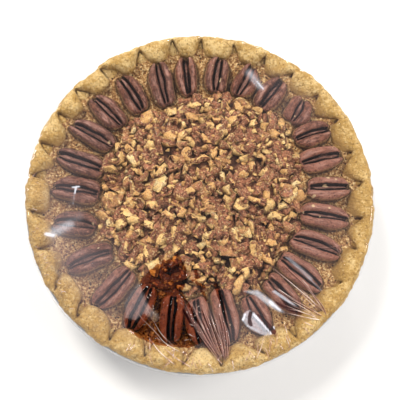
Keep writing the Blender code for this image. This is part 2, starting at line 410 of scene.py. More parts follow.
def open_group(name: str, inputs: dict[str, tuple[str, object]], outputs: dict[str, str]) -> tuple:
    """Start a shader node group.

    Args:
        name: Name of the group.
        inputs: Socket type and default value of each input.
        outputs: Socket type of each output.

    Returns:
        The tree, its wiring, its input node's outputs and its output node.
    """
    tree = bpy.data.node_groups.new(name, "ShaderNodeTree")
    for key, (kind, value) in inputs.items():
        tree.interface.new_socket(name=key, in_out="INPUT", socket_type=kind).default_value = value
    for key, kind in outputs.items():
        tree.interface.new_socket(name=key, in_out="OUTPUT", socket_type=kind)
    wiring = Wiring(tree)
    return tree, wiring, wiring.add("NodeGroupInput").outputs, wiring.add("NodeGroupOutput")


@dataclass
class SharedEffects:
    """Node groups that several materials use."""

    syrup: Tree = field(init=False)
    mottle: Tree = field(init=False)

    def __post_init__(self) -> None:
        """Build the groups once."""
        self.syrup = self._build_syrup()
        self.mottle = self._build_mottle()

    @staticmethod
    def _build_syrup() -> Tree:
        """Build the effect of film clinging to syrup: darker, warmer and glossier."""
        tree, wiring, given, result = open_group(
            "syrup_contact",
            {
                "Colour": (COLOUR_SOCKET, (0.5, 0.3, 0.1, 1.0)),
                "Roughness": (FLOAT_SOCKET, 0.5),
                "Cling": (FLOAT_SOCKET, 0.0),
            },
            {"Colour": COLOUR_SOCKET, "Roughness": FLOAT_SOCKET, "Specular": FLOAT_SOCKET},
        )
        unevenness = wiring.scaled(wiring.noise(3.2 * MM, 2.0), 0.55, -0.275)
        mask = wiring.ramp(wiring.plus(given["Cling"], unevenness), 0.44, 0.56)
        deep = wiring.add("ShaderNodeGamma", {0: given["Colour"], 1: 1.30})
        warm = wiring.blend(1.0, deep.outputs[0], (0.68, 0.39, 0.22), "MULTIPLY")
        wiring.join(result, {
            "Colour": wiring.blend(mask, given["Colour"], warm),
            "Roughness": wiring.scaled(mask, -0.3, given["Roughness"]),
            "Specular": wiring.scaled(mask, -0.22, 0.40),
        })
        return tree

    @staticmethod
    def _build_mottle() -> Tree:
        """Build uneven browning: broad patches, small patches and specks."""
        tree, wiring, given, result = open_group(
            "mottle",
            {
                "Pale": (COLOUR_SOCKET, (0.8, 0.6, 0.3, 1.0)),
                "Middle": (COLOUR_SOCKET, (0.6, 0.4, 0.2, 1.0)),
                "Dark": (COLOUR_SOCKET, (0.4, 0.2, 0.1, 1.0)),
                "Size": (FLOAT_SOCKET, 5.0 * MM),
                "Bias": (FLOAT_SOCKET, 0.0),
            },
            {"Colour": COLOUR_SOCKET},
        )
        inputs = {0: wiring.place(), "Scale": wiring.sum("DIVIDE", 1.0, given["Size"])}
        scaled = wiring.add("ShaderNodeVectorMath", operation="SCALE")
        where = wiring.join(scaled, inputs).outputs[0]
        broad = wiring.noise(2.6, 3.0, where=where)
        small = wiring.noise(0.7, 4.0, 0.62, where)
        mixed = wiring.plus(wiring.scaled(broad, 0.55, wiring.times(small, 0.45)), given["Bias"])
        lower = wiring.tint(given["Pale"], given["Middle"], mixed, 0.34, 0.52)
        upper = wiring.tint(lower, given["Dark"], mixed, 0.52, 0.74)
        wiring.join(result, {"Colour": upper})
        return tree

    def glaze(
        self, wiring: Wiring, shader: Node, colour: Socket, roughness: float,
        relief: Socket, depth: float, specular: float | None = None,
    ) -> None:
        """Feed a shader with a colour, wetted where the film clings, and with relief.

        Args:
            wiring: The material's wiring.
            shader: The material's Principled node.
            colour: The dry colour.
            roughness: The dry roughness.
            relief: Height of the relief, about 0 to 1.
            depth: Metres spanned by the relief.
            specular: Fixed specular level, or None for one that the syrup sets.
        """
        cling = wiring.painted("cling")
        syrup = wiring.group(self.syrup, Colour=colour, Roughness=roughness, Cling=cling).outputs
        wiring.join(shader, {
            "Base Color": syrup["Colour"],
            "Roughness": syrup["Roughness"],
            "Specular IOR Level": syrup["Specular"] if specular is None else specular,
            "Normal": wiring.bump(relief, depth),
        })


# --- Finishes ---


@dataclass(frozen=True)
class PastryFinish:
    """Dry, unevenly browned shortcrust."""

    pale: Colour = (0.82, 0.585, 0.26)
    golden: Colour = (0.56, 0.338, 0.10)
    brown: Colour = (0.31, 0.165, 0.045)
    flour: Colour = (0.84, 0.65, 0.34)
    # Colour of the painted shade in the notches' creases.
    crease: Colour = (0.10, 0.045, 0.018)
    roughness: float = 0.60

    def build(self, effects: SharedEffects) -> Material:
        """Return the material, which reads 'crease', 'toast', 'bake' and 'cling'."""
        material, wiring, shader = new_material("baked_pastry")
        # Pastry darker or paler by bearing round the rim.
        bake = wiring.painted("bake")
        colour = wiring.group(
            effects.mottle, Pale=self.pale, Middle=self.golden, Dark=self.brown, Size=3.0 * MM, Bias=bake
        ).outputs["Colour"]
        crumb = wiring.noise(1.5 * MM, 3.0, 0.6)
        colour = wiring.tint(colour, self.flour, wiring.noise(1.8 * MM), 0.54, 0.68, 0.55)
        colour = wiring.tint(colour, self.brown, crumb, 0.46, 0.34, 0.85)
        # Browning with painted shade: darker on the lobes' inner, lower side and beside the notches.
        colour = wiring.tint(colour, self.brown, wiring.ragged("toast", crumb, 0.8), 0.15, 0.95, 0.72)
        # Painted shade: near-black in the creases of the notches.
        colour = wiring.blend(wiring.times(wiring.painted("crease"), 0.95), colour, self.crease)
        flakes = wiring.noise(2.4 * MM, 5.0, 0.68)
        effects.glaze(wiring, shader, colour, self.roughness, flakes, 3.0 * MM, specular=0.35)
        return material


@dataclass(frozen=True)
class FillingFinish:
    """Set syrup with a foamy, pitted, crumb-strewn skin."""

    foam: Colour = (0.62, 0.40, 0.165)
    amber: Colour = (0.44, 0.235, 0.085)
    syrup: Colour = (0.16, 0.062, 0.024)
    grain: Colour = (0.86, 0.64, 0.34)
    froth: Colour = (0.49, 0.295, 0.115)
    # Near-black of the pits and of the painted shade round the halves.
    pit_and_shade: Colour = (0.030, 0.013, 0.008)
    roughness: float = 0.42

    def build(self, effects: SharedEffects) -> Material:
        """Return the filling's material, which reads 'cling', 'contact' and 'froth'."""
        material, wiring, shader = new_material("foamy_syrup")
        colour = wiring.group(
            effects.mottle, Pale=self.foam, Middle=self.amber, Dark=self.syrup, Size=1.7 * MM, Bias=0.035
        ).outputs["Colour"]
        colour = wiring.blend(wiring.times(wiring.painted("froth"), 0.4), colour, self.froth)
        grit = wiring.noise(1.8 * MM, 3.0, 0.7)
        colour = wiring.tint(colour, self.syrup, grit, 0.50, 0.40, 0.92)
        colour = wiring.tint(colour, self.grain, grit, 0.54, 0.62, 0.85)
        crumbs = wiring.cells(1.9 * MM)
        sparse = wiring.ramp(wiring.noise(3.0 * MM, 1.0), 0.46, 0.56)
        # Dark pits in the foam, their darkness partly painted shade.
        pit_and_shade = wiring.times(wiring.ramp(wiring.cells(2.2 * MM), 0.34, 0.20), sparse)
        # Painted shade: a dark ring round each pecan half.
        contact = wiring.times(wiring.painted("contact"), wiring.ramp(crumbs, 0.1, 0.5, 0.35, 0.9))
        colour = wiring.blend(wiring.sum("MAXIMUM", pit_and_shade, contact), colour, self.pit_and_shade)
        relief = wiring.scaled(wiring.ramp(crumbs, 0.42, 0.16), 0.5, wiring.scaled(pit_and_shade, -0.9, grit))
        effects.glaze(wiring, shader, colour, self.roughness, relief, 1.4 * MM)
        return material


@dataclass(frozen=True)
class HalfFinish:
    """Glazed skin of a pecan half."""

    skin: Colour = (0.185, 0.064, 0.036)
    light_skin: Colour = (0.385, 0.160, 0.098)
    rosy_skin: Colour = (0.50, 0.215, 0.150)
    dark_skin: Colour = (0.062, 0.021, 0.015)
    grey_skin: Colour = (0.145, 0.070, 0.055)
    ridge: Colour = (0.175, 0.085, 0.064)
    # Darkest skin and painted shade in the furrows.
    furrow: Colour = (0.012, 0.005, 0.004)
    # Colour of the painted highlight on the crests.
    crest: Colour = (0.52, 0.280, 0.220)
    flesh: Colour = (0.78, 0.56, 0.32)
    crumb: Colour = (0.46, 0.27, 0.125)
    roughness: float = 0.36

    def build(self, effects: SharedEffects) -> Material:
        """Return the material, which reads the numbers painted by PecanHalf."""
        material, wiring, shader = new_material("pecan_skin")
        tone = wiring.painted("tone")
        along = wiring.times(wiring.painted("along"), 0.25)
        grain_at = wiring.add(
            "ShaderNodeCombineXYZ", {0: along, 1: wiring.painted("across"), 2: wiring.times(tone, 3.0)}
        ).outputs[0]
        streaks = wiring.noise(1.9 * MM, 5.0, 0.65, grain_at)
        fine = wiring.noise(1.5 * MM, 4.0, 0.7)
        blotches = wiring.noise(4.0 * MM, 4.0, 0.65)
        colour = wiring.tint(self.dark_skin, self.skin, streaks, 0.38, 0.54)
        for other, value, low, high, most in (
            # Pale streaks and pale specks below: skin grain and painted highlights.
            (self.light_skin, streaks, 0.56, 0.68, 0.7),
            (self.light_skin, blotches, 0.48, 0.66, 1.0),
            (self.grey_skin, tone, 0.45, 0.95, 0.6),
            (self.rosy_skin, tone, 0.60, 0.05, 0.55),
            (self.dark_skin, fine, 0.47, 0.36, 0.75),
            (self.light_skin, fine, 0.55, 0.66, 0.65),
        ):
            colour = wiring.tint(colour, other, value, low, high, most)
        colour = wiring.blend(wiring.times(wiring.painted("ridge"), 0.65), colour, self.ridge)
        # Painted highlight along the crests of the lobes and the ridge.
        shine = wiring.times(wiring.painted("crest"), wiring.ramp(streaks, 0.42, 0.56, 0.1, 0.8))
        colour = wiring.blend(shine, colour, self.crest)
        # Dark skin and painted shade in the furrows.
        colour = wiring.tint(colour, self.furrow, wiring.ragged("furrow", fine, 1.3), 0.30, 0.70)
        colour = wiring.tint(colour, self.crumb, wiring.ragged("hem", fine, 1.6), 0.52, 0.66, 0.85)
        colour = wiring.tint(colour, self.flesh, wiring.ragged("chip", fine, 1.3), 0.46, 0.58)
        effects.glaze(wiring, shader, colour, self.roughness, wiring.scaled(streaks, 1.5, fine), 2.2 * MM)
        return material


@dataclass(frozen=True)
class ChoppedFinish:
    """Chopped pecan in glaze: brown skin outside, golden flesh where it is cut."""

    skin: Colour = (0.52, 0.212, 0.110)
    dark_skin: Colour = (0.150, 0.052, 0.030)
    flesh: Colour = (0.98, 0.635, 0.245)
    toasted_flesh: Colour = (0.78, 0.42, 0.150)
    pale_flesh: Colour = (0.95, 0.74, 0.38)
    # Near-black of the painted shade in the crevices.
    sunk: Colour = (0.028, 0.011, 0.007)
    roughness: float = 0.36

    def build(self, effects: SharedEffects) -> Material:
        """Return the material, which reads 'cut', 'tone', 'deep' (painted shade in crevices) and 'cling'."""
        material, wiring, shader = new_material("chopped_pecan_glazed")
        grain = wiring.noise(2.0 * MM, 4.0, 0.7)
        patches = wiring.noise(4.0 * MM)
        fine = wiring.noise(1.2 * MM, 2.0)
        warmth = wiring.ragged("tone", patches, 1.6)
        skin = wiring.tint(self.dark_skin, self.skin, grain, 0.38, 0.60)
        skin = wiring.tint(skin, self.toasted_flesh, warmth, 0.35, -0.10, 0.55)
        flesh = wiring.tint(self.flesh, self.toasted_flesh, warmth, 0.15, 0.80)
        flesh = wiring.tint(flesh, self.pale_flesh, warmth, 0.14, -0.15)
        flesh = wiring.tint(flesh, self.pale_flesh, grain, 0.56, 0.68, 0.75)
        flesh = wiring.tint(flesh, self.skin, grain, 0.46, 0.34, 0.8)
        worn = wiring.ragged("cut", grain, 1.1)
        colour = wiring.tint(skin, flesh, worn, 0.32, 0.48)
        rind = wiring.times(wiring.ramp(worn, 0.26, 0.38), wiring.ramp(worn, 0.54, 0.42))
        colour = wiring.blend(wiring.times(rind, 0.7), colour, self.dark_skin)
        colour = wiring.tint(colour, self.dark_skin, fine, 0.44, 0.32, 0.5)
        # Pale specks: flesh grain and painted glints of the glaze.
        colour = wiring.tint(colour, self.pale_flesh, fine, 0.56, 0.68, 0.55)
        # Painted shade: darker where a piece lies below the heap's tops.
        colour = wiring.blend(wiring.painted("deep"), colour, self.sunk)
        soaked = wiring.times(wiring.painted("cling"), wiring.ramp(patches, 0.58, 0.48, 0.0, 0.88))
        colour = wiring.blend(soaked, colour, self.dark_skin)
        wiring.join(shader, {"Coat Weight": 0.25, "Coat Roughness": 0.12})
        effects.glaze(wiring, shader, colour, self.roughness, wiring.scaled(fine, 0.5, grain), 2.2 * MM)
        return material


@dataclass(frozen=True)
class FoilFinish:
    """Soft aluminium foil with fine crinkles."""

    bright: Colour = (0.82, 0.83, 0.84)
    dull: Colour = (0.70, 0.70, 0.71)

    def build(self) -> Material:
        """Return the foil's material."""
        material, wiring, shader = new_material("soft_foil")
        patches = wiring.noise(6.0 * MM)
        wiring.join(shader, {
            "Metallic": 1.0,
            "Roughness": wiring.ramp(patches, 0.3, 0.7, 0.27, 0.42),
            "Base Color": wiring.tint(self.bright, self.dull, patches, 0.35, 0.7),
            "Normal": wiring.bump(wiring.noise(2.5 * MM, 4.0, 0.6), 0.35 * MM, 0.6),
        })
        return material


@dataclass(frozen=True)
class FilmFinish:
    """Clear stretch film: sharp reflections over a faint milky veil, with painted highlights and painted
    shade.
    """

    clear: Colour = (0.99, 0.99, 0.99)
    shade: Colour = (0.26, 0.09, 0.06)
    veil: Colour = (0.44, 0.36, 0.39)
    # Colour of the painted highlights and glare.
    sheen: Colour = (0.84, 0.85, 0.94)
    straight_gloss: float = 0.023
    stuck_gloss: float = 0.014
    grazing_gloss: float = 0.28
    whitening: tuple[float, float] = (0.0, 0.3)
    gloss_roughness: float = 0.06
    thickest_veil: float = 0.21

    def build(self, name: str) -> Material:
        """Return film that reads the painted 'veil', 'sheen' (a painted highlight), 'shadow' (painted shade)
        and 'cling'.
        """
        material, wiring, shader = new_material(name)
        material.node_tree.nodes.remove(shader)
        fine = wiring.noise(1.6 * MM)
        sheen = wiring.painted("sheen")
        # Painted shade darkens what is seen through the film.
        seen_through = wiring.tint(self.clear, self.shade, wiring.ragged("shadow", fine, 0.5), 0.25, 0.75)
        through = wiring.add("ShaderNodeBsdfTransparent", {0: seen_through})
        gloss = wiring.add("ShaderNodeBsdfGlossy", {
            "Color": (1.0, 1.0, 1.0),
            "Roughness": self.gloss_roughness,
            "Normal": wiring.bump(fine, 0.05 * MM, 0.4),
        })
        milk_and_sheen = wiring.add(
            "ShaderNodeBsdfDiffuse", {0: wiring.tint(self.veil, self.sheen, sheen, *self.whitening)}
        )
        veil = wiring.times(wiring.painted("veil"), self.thickest_veil)
        # Painted highlight, made streaky, over the milky veil.
        streaky = wiring.times(sheen, wiring.ramp(fine, 0.25, 0.75, 0.75, 1.1))
        white = wiring.sum("MAXIMUM", veil, streaky)
        slope = wiring.add("ShaderNodeLayerWeight", {"Blend": 0.5})
        grazing = wiring.sum("POWER", slope.outputs["Facing"], 5.0)
        straight = wiring.ramp(wiring.painted("cling"), 0.3, 0.7, self.straight_gloss, self.stuck_gloss)
        mirror = wiring.scaled(grazing, self.grazing_gloss, straight)
        hazy = wiring.mixed(white, through.outputs[0], milk_and_sheen.outputs[0])
        surface = material.node_tree.nodes["Material Output"].inputs["Surface"]
        wiring.feed(surface, wiring.mixed(mirror, hazy, gloss.outputs[0]))
        return material


@dataclass(frozen=True)
class FloorFinish:
    """Plain pale floor."""

    colour: Colour = (0.80, 0.79, 0.78)
    shade: Colour = (0.72, 0.71, 0.70)

    def build(self) -> Material:
        """Return the floor's material."""
        material, wiring, shader = new_material("pale_floor")
        share = wiring.times(wiring.noise(0.4, 2.0), 0.06)
        tint = wiring.blend(share, self.colour, self.shade)
        wiring.join(shader, {"Base Color": tint, "Roughness": 0.8})
        return material


# --- Where the film clings ---


@dataclass(frozen=True)
class Strip:
    """A straight strip between two places, each a bearing and a radius in millimetres."""

    start: tuple[float, float]
    end: tuple[float, float]
    start_width: float
    end_width: float

    def depth(self, points: Array) -> Array:
        """Return how deep points lie inside the strip, in metres, below 0 outside."""
        first = polar(self.start[1] * MM, self.start[0])[:2]
        last = polar(self.end[1] * MM, self.end[0])[:2]
        run = last - first
        share = unit(((points[..., :2] - first) @ run) / (run @ run))
        nearest = first + share[..., None] * run
        width = (self.start_width + (self.end_width - self.start_width) * share) * MM
        return 0.5 * width - np.linalg.norm(points[..., :2] - nearest, axis=-1)


@dataclass(frozen=True)
class Outline:
    """A closed shape on the pie, its corners each a bearing and a radius in millimetres."""

    corners: tuple[tuple[float, float], ...]

    def depth(self, points: Array) -> Array:
        """Return how deep points lie inside the shape, in metres, below 0 outside."""
        ring = np.array([polar(radius * MM, bearing)[:2] for bearing, radius in self.corners])
        nearest = np.full(points.shape[:-1], np.inf)
        inside = np.zeros(points.shape[:-1], dtype=bool)
        x, y = points[..., 0], points[..., 1]
        for first, last in zip(ring, np.roll(ring, -1, axis=0)):
            run = last - first
            share = unit(((points[..., :2] - first) @ run) / (run @ run))
            away = points[..., :2] - first - share[..., None] * run
            nearest = np.minimum(nearest, np.hypot(away[..., 0], away[..., 1]))
            spans = (first[1] > y) != (last[1] > y)
            height = run[1] if run[1] != 0.0 else 1.0
            inside ^= spans & (x < first[0] + (y - first[1]) / height * run[0])
        return np.where(inside, nearest, -nearest)


@dataclass(frozen=True)
class ClingPatch:
    """The place where the film is stuck down in the syrup.

    A pale fold of film crosses the patch, and a few narrow stuck strips lie beside it.
    """

    area: Outline = Outline((
        (199.4, 47.5), (194.7, 52.5), (190.6, 58.0), (188.4, 66.0), (190.6, 73.0), (187.5, 78.0),
        (183.5, 84.0), (181.0, 92.0), (179.2, 99.0), (180.0, 106.0), (184.6, 109.6), (190.2, 110.0),
        (197.3, 111.4), (203.2, 110.4), (207.6, 108.8), (209.4, 105.0), (209.8, 99.0), (210.9, 84.0),
        (213.3, 76.0), (211.4, 68.0), (206.4, 59.0), (202.2, 54.0),
    ))
    fold: Outline = Outline((
        (214.5, 76.0), (210.7, 80.5), (207.7, 83.6), (205.1, 86.9), (202.7, 89.4), (198.5, 92.0),
        (197.6, 94.2), (198.1, 97.0), (199.6, 97.6), (201.5, 96.0), (203.5, 94.8), (204.4, 96.0),
        (205.8, 101.0), (210.4, 103.6), (213.0, 96.0), (214.0, 86.0),
    ))
    strips: tuple[Strip, ...] = (
        Strip((183.9, 58.1), (179.9, 69.2), 2.6, 3.4),
        Strip((179.9, 69.2), (177.6, 78.5), 3.0, 1.4),
        Strip((171.9, 67.9), (170.4, 78.0), 3.0, 3.8),
        Strip((170.4, 78.0), (170.0, 98.2), 3.2, 1.6),
        Strip((182.0, 62.0), (186.0, 66.0), 1.6, 1.6),
    )
    softness: float = 1.3 * MM

    def depth(self, points: Array) -> Array:
        """Return how deep points lie inside the stuck area, in metres."""
        inside = np.minimum(self.area.depth(points), -self.fold.depth(points))
        for strip in self.strips:
            inside = np.maximum(inside, strip.depth(points))
        return inside

    def cover(self, points: Array) -> Array:
        """Return 1 where film is stuck, 0 where it is free, 0.5 on the edge."""
        return unit(0.5 + self.depth(points) / (2.0 * self.softness))


CLING = ClingPatch()


# --- Tin ---


@dataclass
class Tin:
    """Foil tin: flat base, sloping wall, flange and rolled bead."""

    finish: FoilFinish = FoilFinish()
    columns: int = 290
    foil: float = 0.4 * MM
    bead_radius: float = 1.35 * MM
    flange_width: float = 6.2 * MM
    crinkle: float = 0.18 * MM

    def build(self) -> Piece:
        """Build the tin inside its solid's box and return the piece."""
        low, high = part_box("tin")
        rim = high.x - 0.1 * MM
        bead_middle = rim - self.bead_radius
        flange = high.z - 0.9 * MM
        wall_top = bead_middle - self.flange_width
        base = low.z + self.foil
        foot = wall_top - 20.8 * MM
        outline = [(20.0 * MM, base), (60.0 * MM, base), (foot - 3.0 * MM, base)]
        outline += [(foot - 1.0 * MM, base + 0.35 * MM), (foot + 0.3 * MM, base + 1.6 * MM)]
        outline += self._wall(foot + 0.3 * MM, base + 1.6 * MM, wall_top - 0.5 * MM, flange - 1.0 * MM)
        outline += [(wall_top + 0.1 * MM, flange - 0.25 * MM), (wall_top + 0.9 * MM, flange)]
        outline += [(bead_middle - 2.0 * MM, flange)]
        for step in range(11):
            turn = math.radians(150.0 - 33.0 * step)
            outline.append((
                bead_middle + self.bead_radius * math.cos(turn),
                flange - 0.35 * MM + self.bead_radius * math.sin(turn),
            ))
        outline += [(bead_middle - 1.9 * MM, flange - self.foil), (wall_top + 1.0 * MM, flange - self.foil)]
        outline += self._wall(foot + 0.7 * MM, base + 1.4 * MM, wall_top, flange - 1.2 * MM)[::-1]
        outline += [(foot + 0.2 * MM, base + 0.3 * MM), (foot - 1.4 * MM, low.z), (60.0 * MM, low.z)]
        rings = self._turn(np.array(outline))
        piece = turned_piece("tin_foil", rings, np.array([0, 0, base]), np.array([0, 0, low.z]), 50.0)
        dress(piece, self.finish.build())
        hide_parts("tin")
        return piece

    @staticmethod
    def _wall(r_low: float, z_low: float, r_high: float, z_high: float) -> list[tuple[float, float]]:
        """Return points up a straight wall."""
        shares = np.linspace(0.12, 0.9, 7)
        return [(r_low + (r_high - r_low) * s, z_low + (z_high - z_low) * s) for s in shares]

    def _turn(self, outline: Array) -> Array:
        """Return the outline turned into rings, crinkled a little as foil is."""
        bearing = np.radians(np.arange(self.columns) * 360.0 / self.columns)
        points = around_axis(outline[:, :1], bearing, outline[:, 1:])
        inner = ((outline[:, 0] > 60.0 * MM) & (outline[:, 0] < 120.0 * MM))[:, None]
        dent = Lumps(41).layered(points * [1.0, 1.0, 0.35], 9.0 * MM, 2) * self.crinkle * inner
        return points + around_axis(1.0, bearing, 0.0) * dent[..., None]


# --- Crust ---


@dataclass
class Crust:
    """Pastry cup with a finger-pinched rim: puffy lobes parted by creased notches.

    The sections, the outer wall, the foot and the floor are in millimetres: radius and
    height. The darkness table is bearings and how much darker the pastry is at each.
    """

    finish: PastryFinish = PastryFinish()
    crimps: int = 29
    columns_per_crimp: int = 40
    rows: int = 56
    notch_apex: float = 121.4 * MM
    notch_reach: float = 11.0 * MM
    notch_half_opening: float = 3.7 * MM
    lobe_round: float = 8.6 * MM
    crease_depth: float = 1.7 * MM
    darkness_by_bearing: tuple[tuple[float, ...], tuple[float, ...]] = (
        (0.0, 45.0, 90.0, 135.0, 180.0, 225.0, 270.0, 315.0, 360.0),
        (-0.07, -0.03, 0.03, 0.005, -0.07, 0.02, 0.01, -0.05, -0.07),
    )
    outer_wall: tuple[tuple[float, float], ...] = ((118.5, 34.2), (117.0, 33.0), (96.4, 2.3))
    foot_radius: float = 94.6
    floor_radius: float = 93.0
    floor_height: float = 5.3
    lobe_section: tuple[tuple[float, float], ...] = (
        (110.2, 30.6), (109.4, 33.4), (108.8, 36.4), (109.2, 39.4), (111.0, 42.4), (114.2, 44.4),
        (117.8, 45.0), (121.2, 44.2), (123.6, 42.2), (125.0, 39.6), (125.3, 37.0), (124.6, 35.1),
        (122.6, 34.2),
    )
    gentle_section: tuple[tuple[float, float], ...] = (
        (109.6, 30.6), (107.6, 33.0), (107.4, 34.9), (108.8, 36.6), (111.0, 38.6), (113.8, 40.8),
        (117.2, 42.8), (120.8, 43.6), (123.4, 42.2), (125.0, 39.6), (125.3, 37.0), (124.6, 35.1),
        (122.6, 34.2),
    )
    notch_section: tuple[tuple[float, float], ...] = (
        (110.6, 30.6), (112.2, 33.4), (113.6, 35.0), (115.0, 36.0), (116.5, 36.8), (118.2, 37.5),
        (119.9, 38.6), (121.6, 40.6), (123.2, 41.0), (124.5, 39.2), (124.9, 36.8), (124.2, 35.0),
        (122.4, 34.2),
    )

    def build(self, effects: SharedEffects) -> Piece:
        """Build the crust and return the piece."""
        rim, crease, toast = self._rim()
        columns = rim.shape[1]
        low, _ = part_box("crust")
        below = [self._plain(*place, columns) for place in self.outer_wall]
        below.append(self._plain(self.foot_radius, low.z / MM, columns))
        inside = self._plain(self.floor_radius, self.floor_height, columns)
        rings = np.concatenate([inside[None], rim, np.array(below)])
        floor = np.array([0.0, 0.0, self.floor_height * MM])
        piece = turned_piece("crust_pastry", rings, floor, np.array([0.0, 0.0, low.z]))
        for name, values in (("crease", crease), ("toast", toast)):
            shade = np.zeros(len(piece.data.vertices))
            shade[columns : columns + values.size] = values.ravel()
            paint(piece, name, shade)
        places = mesh_points(piece)
        turn = np.degrees(np.arctan2(places[:, 0], places[:, 1])) % 360.0
        # Pastry darker or paler by bearing round the rim.
        paint(piece, "bake", np.interp(turn, *self.darkness_by_bearing))
        paint(piece, "cling", CLING.cover(places))
        dress(piece, self.finish.build(effects))
        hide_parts("crust")
        return piece

    @staticmethod
    def _plain(radius_mm: float, height_mm: float, columns: int) -> Array:
        """Return one plain round ring."""
        bearing = np.arange(columns) * 2.0 * math.pi / columns
        return around_axis(radius_mm * MM, bearing, height_mm * MM)

    def _rim(self) -> tuple[Array, Array, Array]:
        """Return the rim's rings, each point's painted crease shade, and its browning with painted shade."""
        chance = np.random.default_rng(29)
        count = self.crimps
        step = 360.0 / count
        turns = np.arange(count) * step
        notch_shift = chance.normal(0.0, 0.55, count)
        sharp = np.interp(turns, (0, 25, 60, 100, 150, 200, 250, 275, 330, 360), (
            0.75, 0.70, 1.15, 1.20, 0.60, 0.50, 0.55, 1.0, 1.0, 0.75,
        )) * chance.uniform(0.75, 1.25, count)
        cut = np.interp(turns, (0, 25, 60, 125, 160, 200, 250, 275, 330, 360), (
            0.80, 0.45, 0.15, 0.20, 0.70, 0.85, 0.95, 1.0, 1.0, 0.80,
        ))
        drop = chance.uniform(0.0, 1.6, count) * MM
        bulge = chance.normal(0.3, 0.7, count) * MM
        twist = chance.normal(0.10, 0.22, count)
        hooked = np.where(chance.random(count) < 0.7, 1.0, -1.0)
        apex = self.notch_apex + (chance.normal(0.0, 0.8, count) - 6.5 * (1.0 - cut)) * MM
        columns = count * self.columns_per_crimp
        bearing = np.arange(columns) * 360.0 / columns
        crimp = np.round(bearing / step).astype(int) % count
        lobe = np.floor(bearing / step).astype(int) % count
        lobe_share = (bearing / step) % 1.0
        gap = (bearing - crimp * step - notch_shift[crimp] + 180.0) % 360.0 - 180.0
        apex, sharp, cut, twist, hooked = (
            values[crimp] for values in (apex, sharp, cut, twist, hooked)
        )
        drop, bulge = drop[lobe], bulge[lobe]

        lobe_line, gentle_line, notch_line = (
            smooth_curve(np.array(section), self.rows)[:, :, None] * MM
            for section in (self.lobe_section, self.gentle_section, self.notch_section)
        )
        gentle = smooth_step(np.interp(bearing, (0, 20, 55, 125, 160, 360), (0.1, 0.45, 1, 1, 0.2, 0.1)))
        lobe_line = lobe_line + (gentle_line - lobe_line) * gentle
        radius = lobe_line[:, 0]
        leaning = gap + twist * (radius - 117.0 * MM) / MM * 0.6
        sideways = np.radians(leaning) * radius
        across = np.abs(sideways)
        reach = unit((apex - radius) / self.notch_reach)
        half_open = self.notch_half_opening * reach**0.9 * sharp
        share = unit((across - half_open) / self.lobe_round)
        raised = np.sqrt(unit(1.0 - (1.0 - share) ** 2)) ** 1.1
        shallow = (1.0 - cut) * rise(radius, 113.0, 5.0)
        raised = raised + (1.0 - raised) * shallow

        point_radius = notch_line[:, 0] + (radius - notch_line[:, 0]) * raised
        height = notch_line[:, 1] + (lobe_line[:, 1] - notch_line[:, 1]) * raised
        pad = unit(1.0 - across / np.maximum(half_open, 0.2 * MM))
        height = height + 1.3 * MM * smooth_step(pad) * (reach > 0.0)
        # Painted shade along each notch's crease, darker on one side and near the apex.
        line = np.exp(-(((across - half_open) / (0.7 * MM)) ** 2))
        side = 0.62 + 0.38 * np.sign(sideways) * hooked
        near_apex = np.exp(-(((radius - apex + 1.5 * MM) / (3.0 * MM)) ** 2))
        deep = line * smooth_step((apex + 2.0 * MM - radius) / (3.0 * MM))
        deep = deep * np.maximum(side, near_apex) * rise(height, 33.5, 2.5)
        deep = deep * (0.45 + 0.55 * sharp)
        height = height - self.crease_depth * deep * (0.7 + 0.8 * near_apex)

        middle = np.sin(math.pi * lobe_share) ** 0.7
        lifted = rise(height, 35.0, 8.0)
        height = height - drop * lifted * middle
        inward = fall(radius, 114.0, 4.0) * lifted
        point_radius = point_radius - (bulge + 0.3 * MM) * inward * middle

        points = around_axis(point_radius, np.radians(bearing), height)
        rough = Lumps(7).layered(points, 7.5 * MM, 4) * 0.85 * MM
        fine = Lumps(8).layered(points, 2.8 * MM, 2) * 0.46 * MM
        alive = rise(height, 33.0, 2.0)
        points[..., 2] += (rough + fine) * alive
        points[..., :2] *= (1.0 + ((rough + fine) * 0.6 * alive) / np.maximum(point_radius, MM))[..., None]

        # Browning with painted shade: darker low on the lobes' inner side, beside the notches and inward on
        # the gentle crimps.
        inner_side = fall(radius, 114.0, 5.0)
        low_side = fall(height, 42.0, 6.0)
        beside = np.exp(-(((across - half_open) / (2.2 * MM)) ** 2)) * (reach > 0.0)
        toast = (0.6 * inner_side * low_side + 0.35 * beside) * (0.35 + 0.65 * raised)
        toast = toast + 0.6 * gentle * fall(radius, 117.5, 8.0)
        toast = unit(toast)
        return points, unit(deep * (0.75 + 0.6 * near_apex)), toast


# --- Pecan halves ---


@dataclass(frozen=True)
class Chip:
    """A pale place where a nut's skin is chipped: bearing, radius and size in mm."""

    bearing: float
    radius_mm: float
    size_mm: float
    stretch: float = 1.0


CHIPS = (
    Chip(84.4, 92.0, 3.2), Chip(85.4, 97.5, 2.4), Chip(88.0, 90.0, 2.6, 2.0), Chip(88.0, 107.5, 1.5),
    Chip(71.8, 102.0, 1.4), Chip(75.0, 99.5, 1.2), Chip(9.5, 87.0, 1.6, 3.0), Chip(5.0, 97.5, 1.4),
    Chip(50.6, 91.5, 1.6), Chip(98.6, 92.0, 2.4), Chip(98.4, 108.0, 1.8), Chip(93.5, 81.0, 3.0),
    Chip(98.8, 80.5, 2.8), Chip(103.0, 87.0, 2.0), Chip(126.7, 105.5, 2.0), Chip(102.5, 75.0, 2.0),
    Chip(261.2, 93.5, 2.4, 3.2), Chip(251.3, 80.5, 2.2), Chip(192.0, 80.0, 1.6), Chip(205.0, 76.5, 2.2),
    Chip(238.7, 83.0, 1.5), Chip(332.6, 76.5, 3.2), Chip(297.5, 76.5, 2.8), Chip(293.5, 106.0, 1.3),
    Chip(345.4, 97.0, 2.0), Chip(153.0, 107.0, 1.8), Chip(168.5, 96.0, 1.8), Chip(279.8, 106.0, 1.4),
)


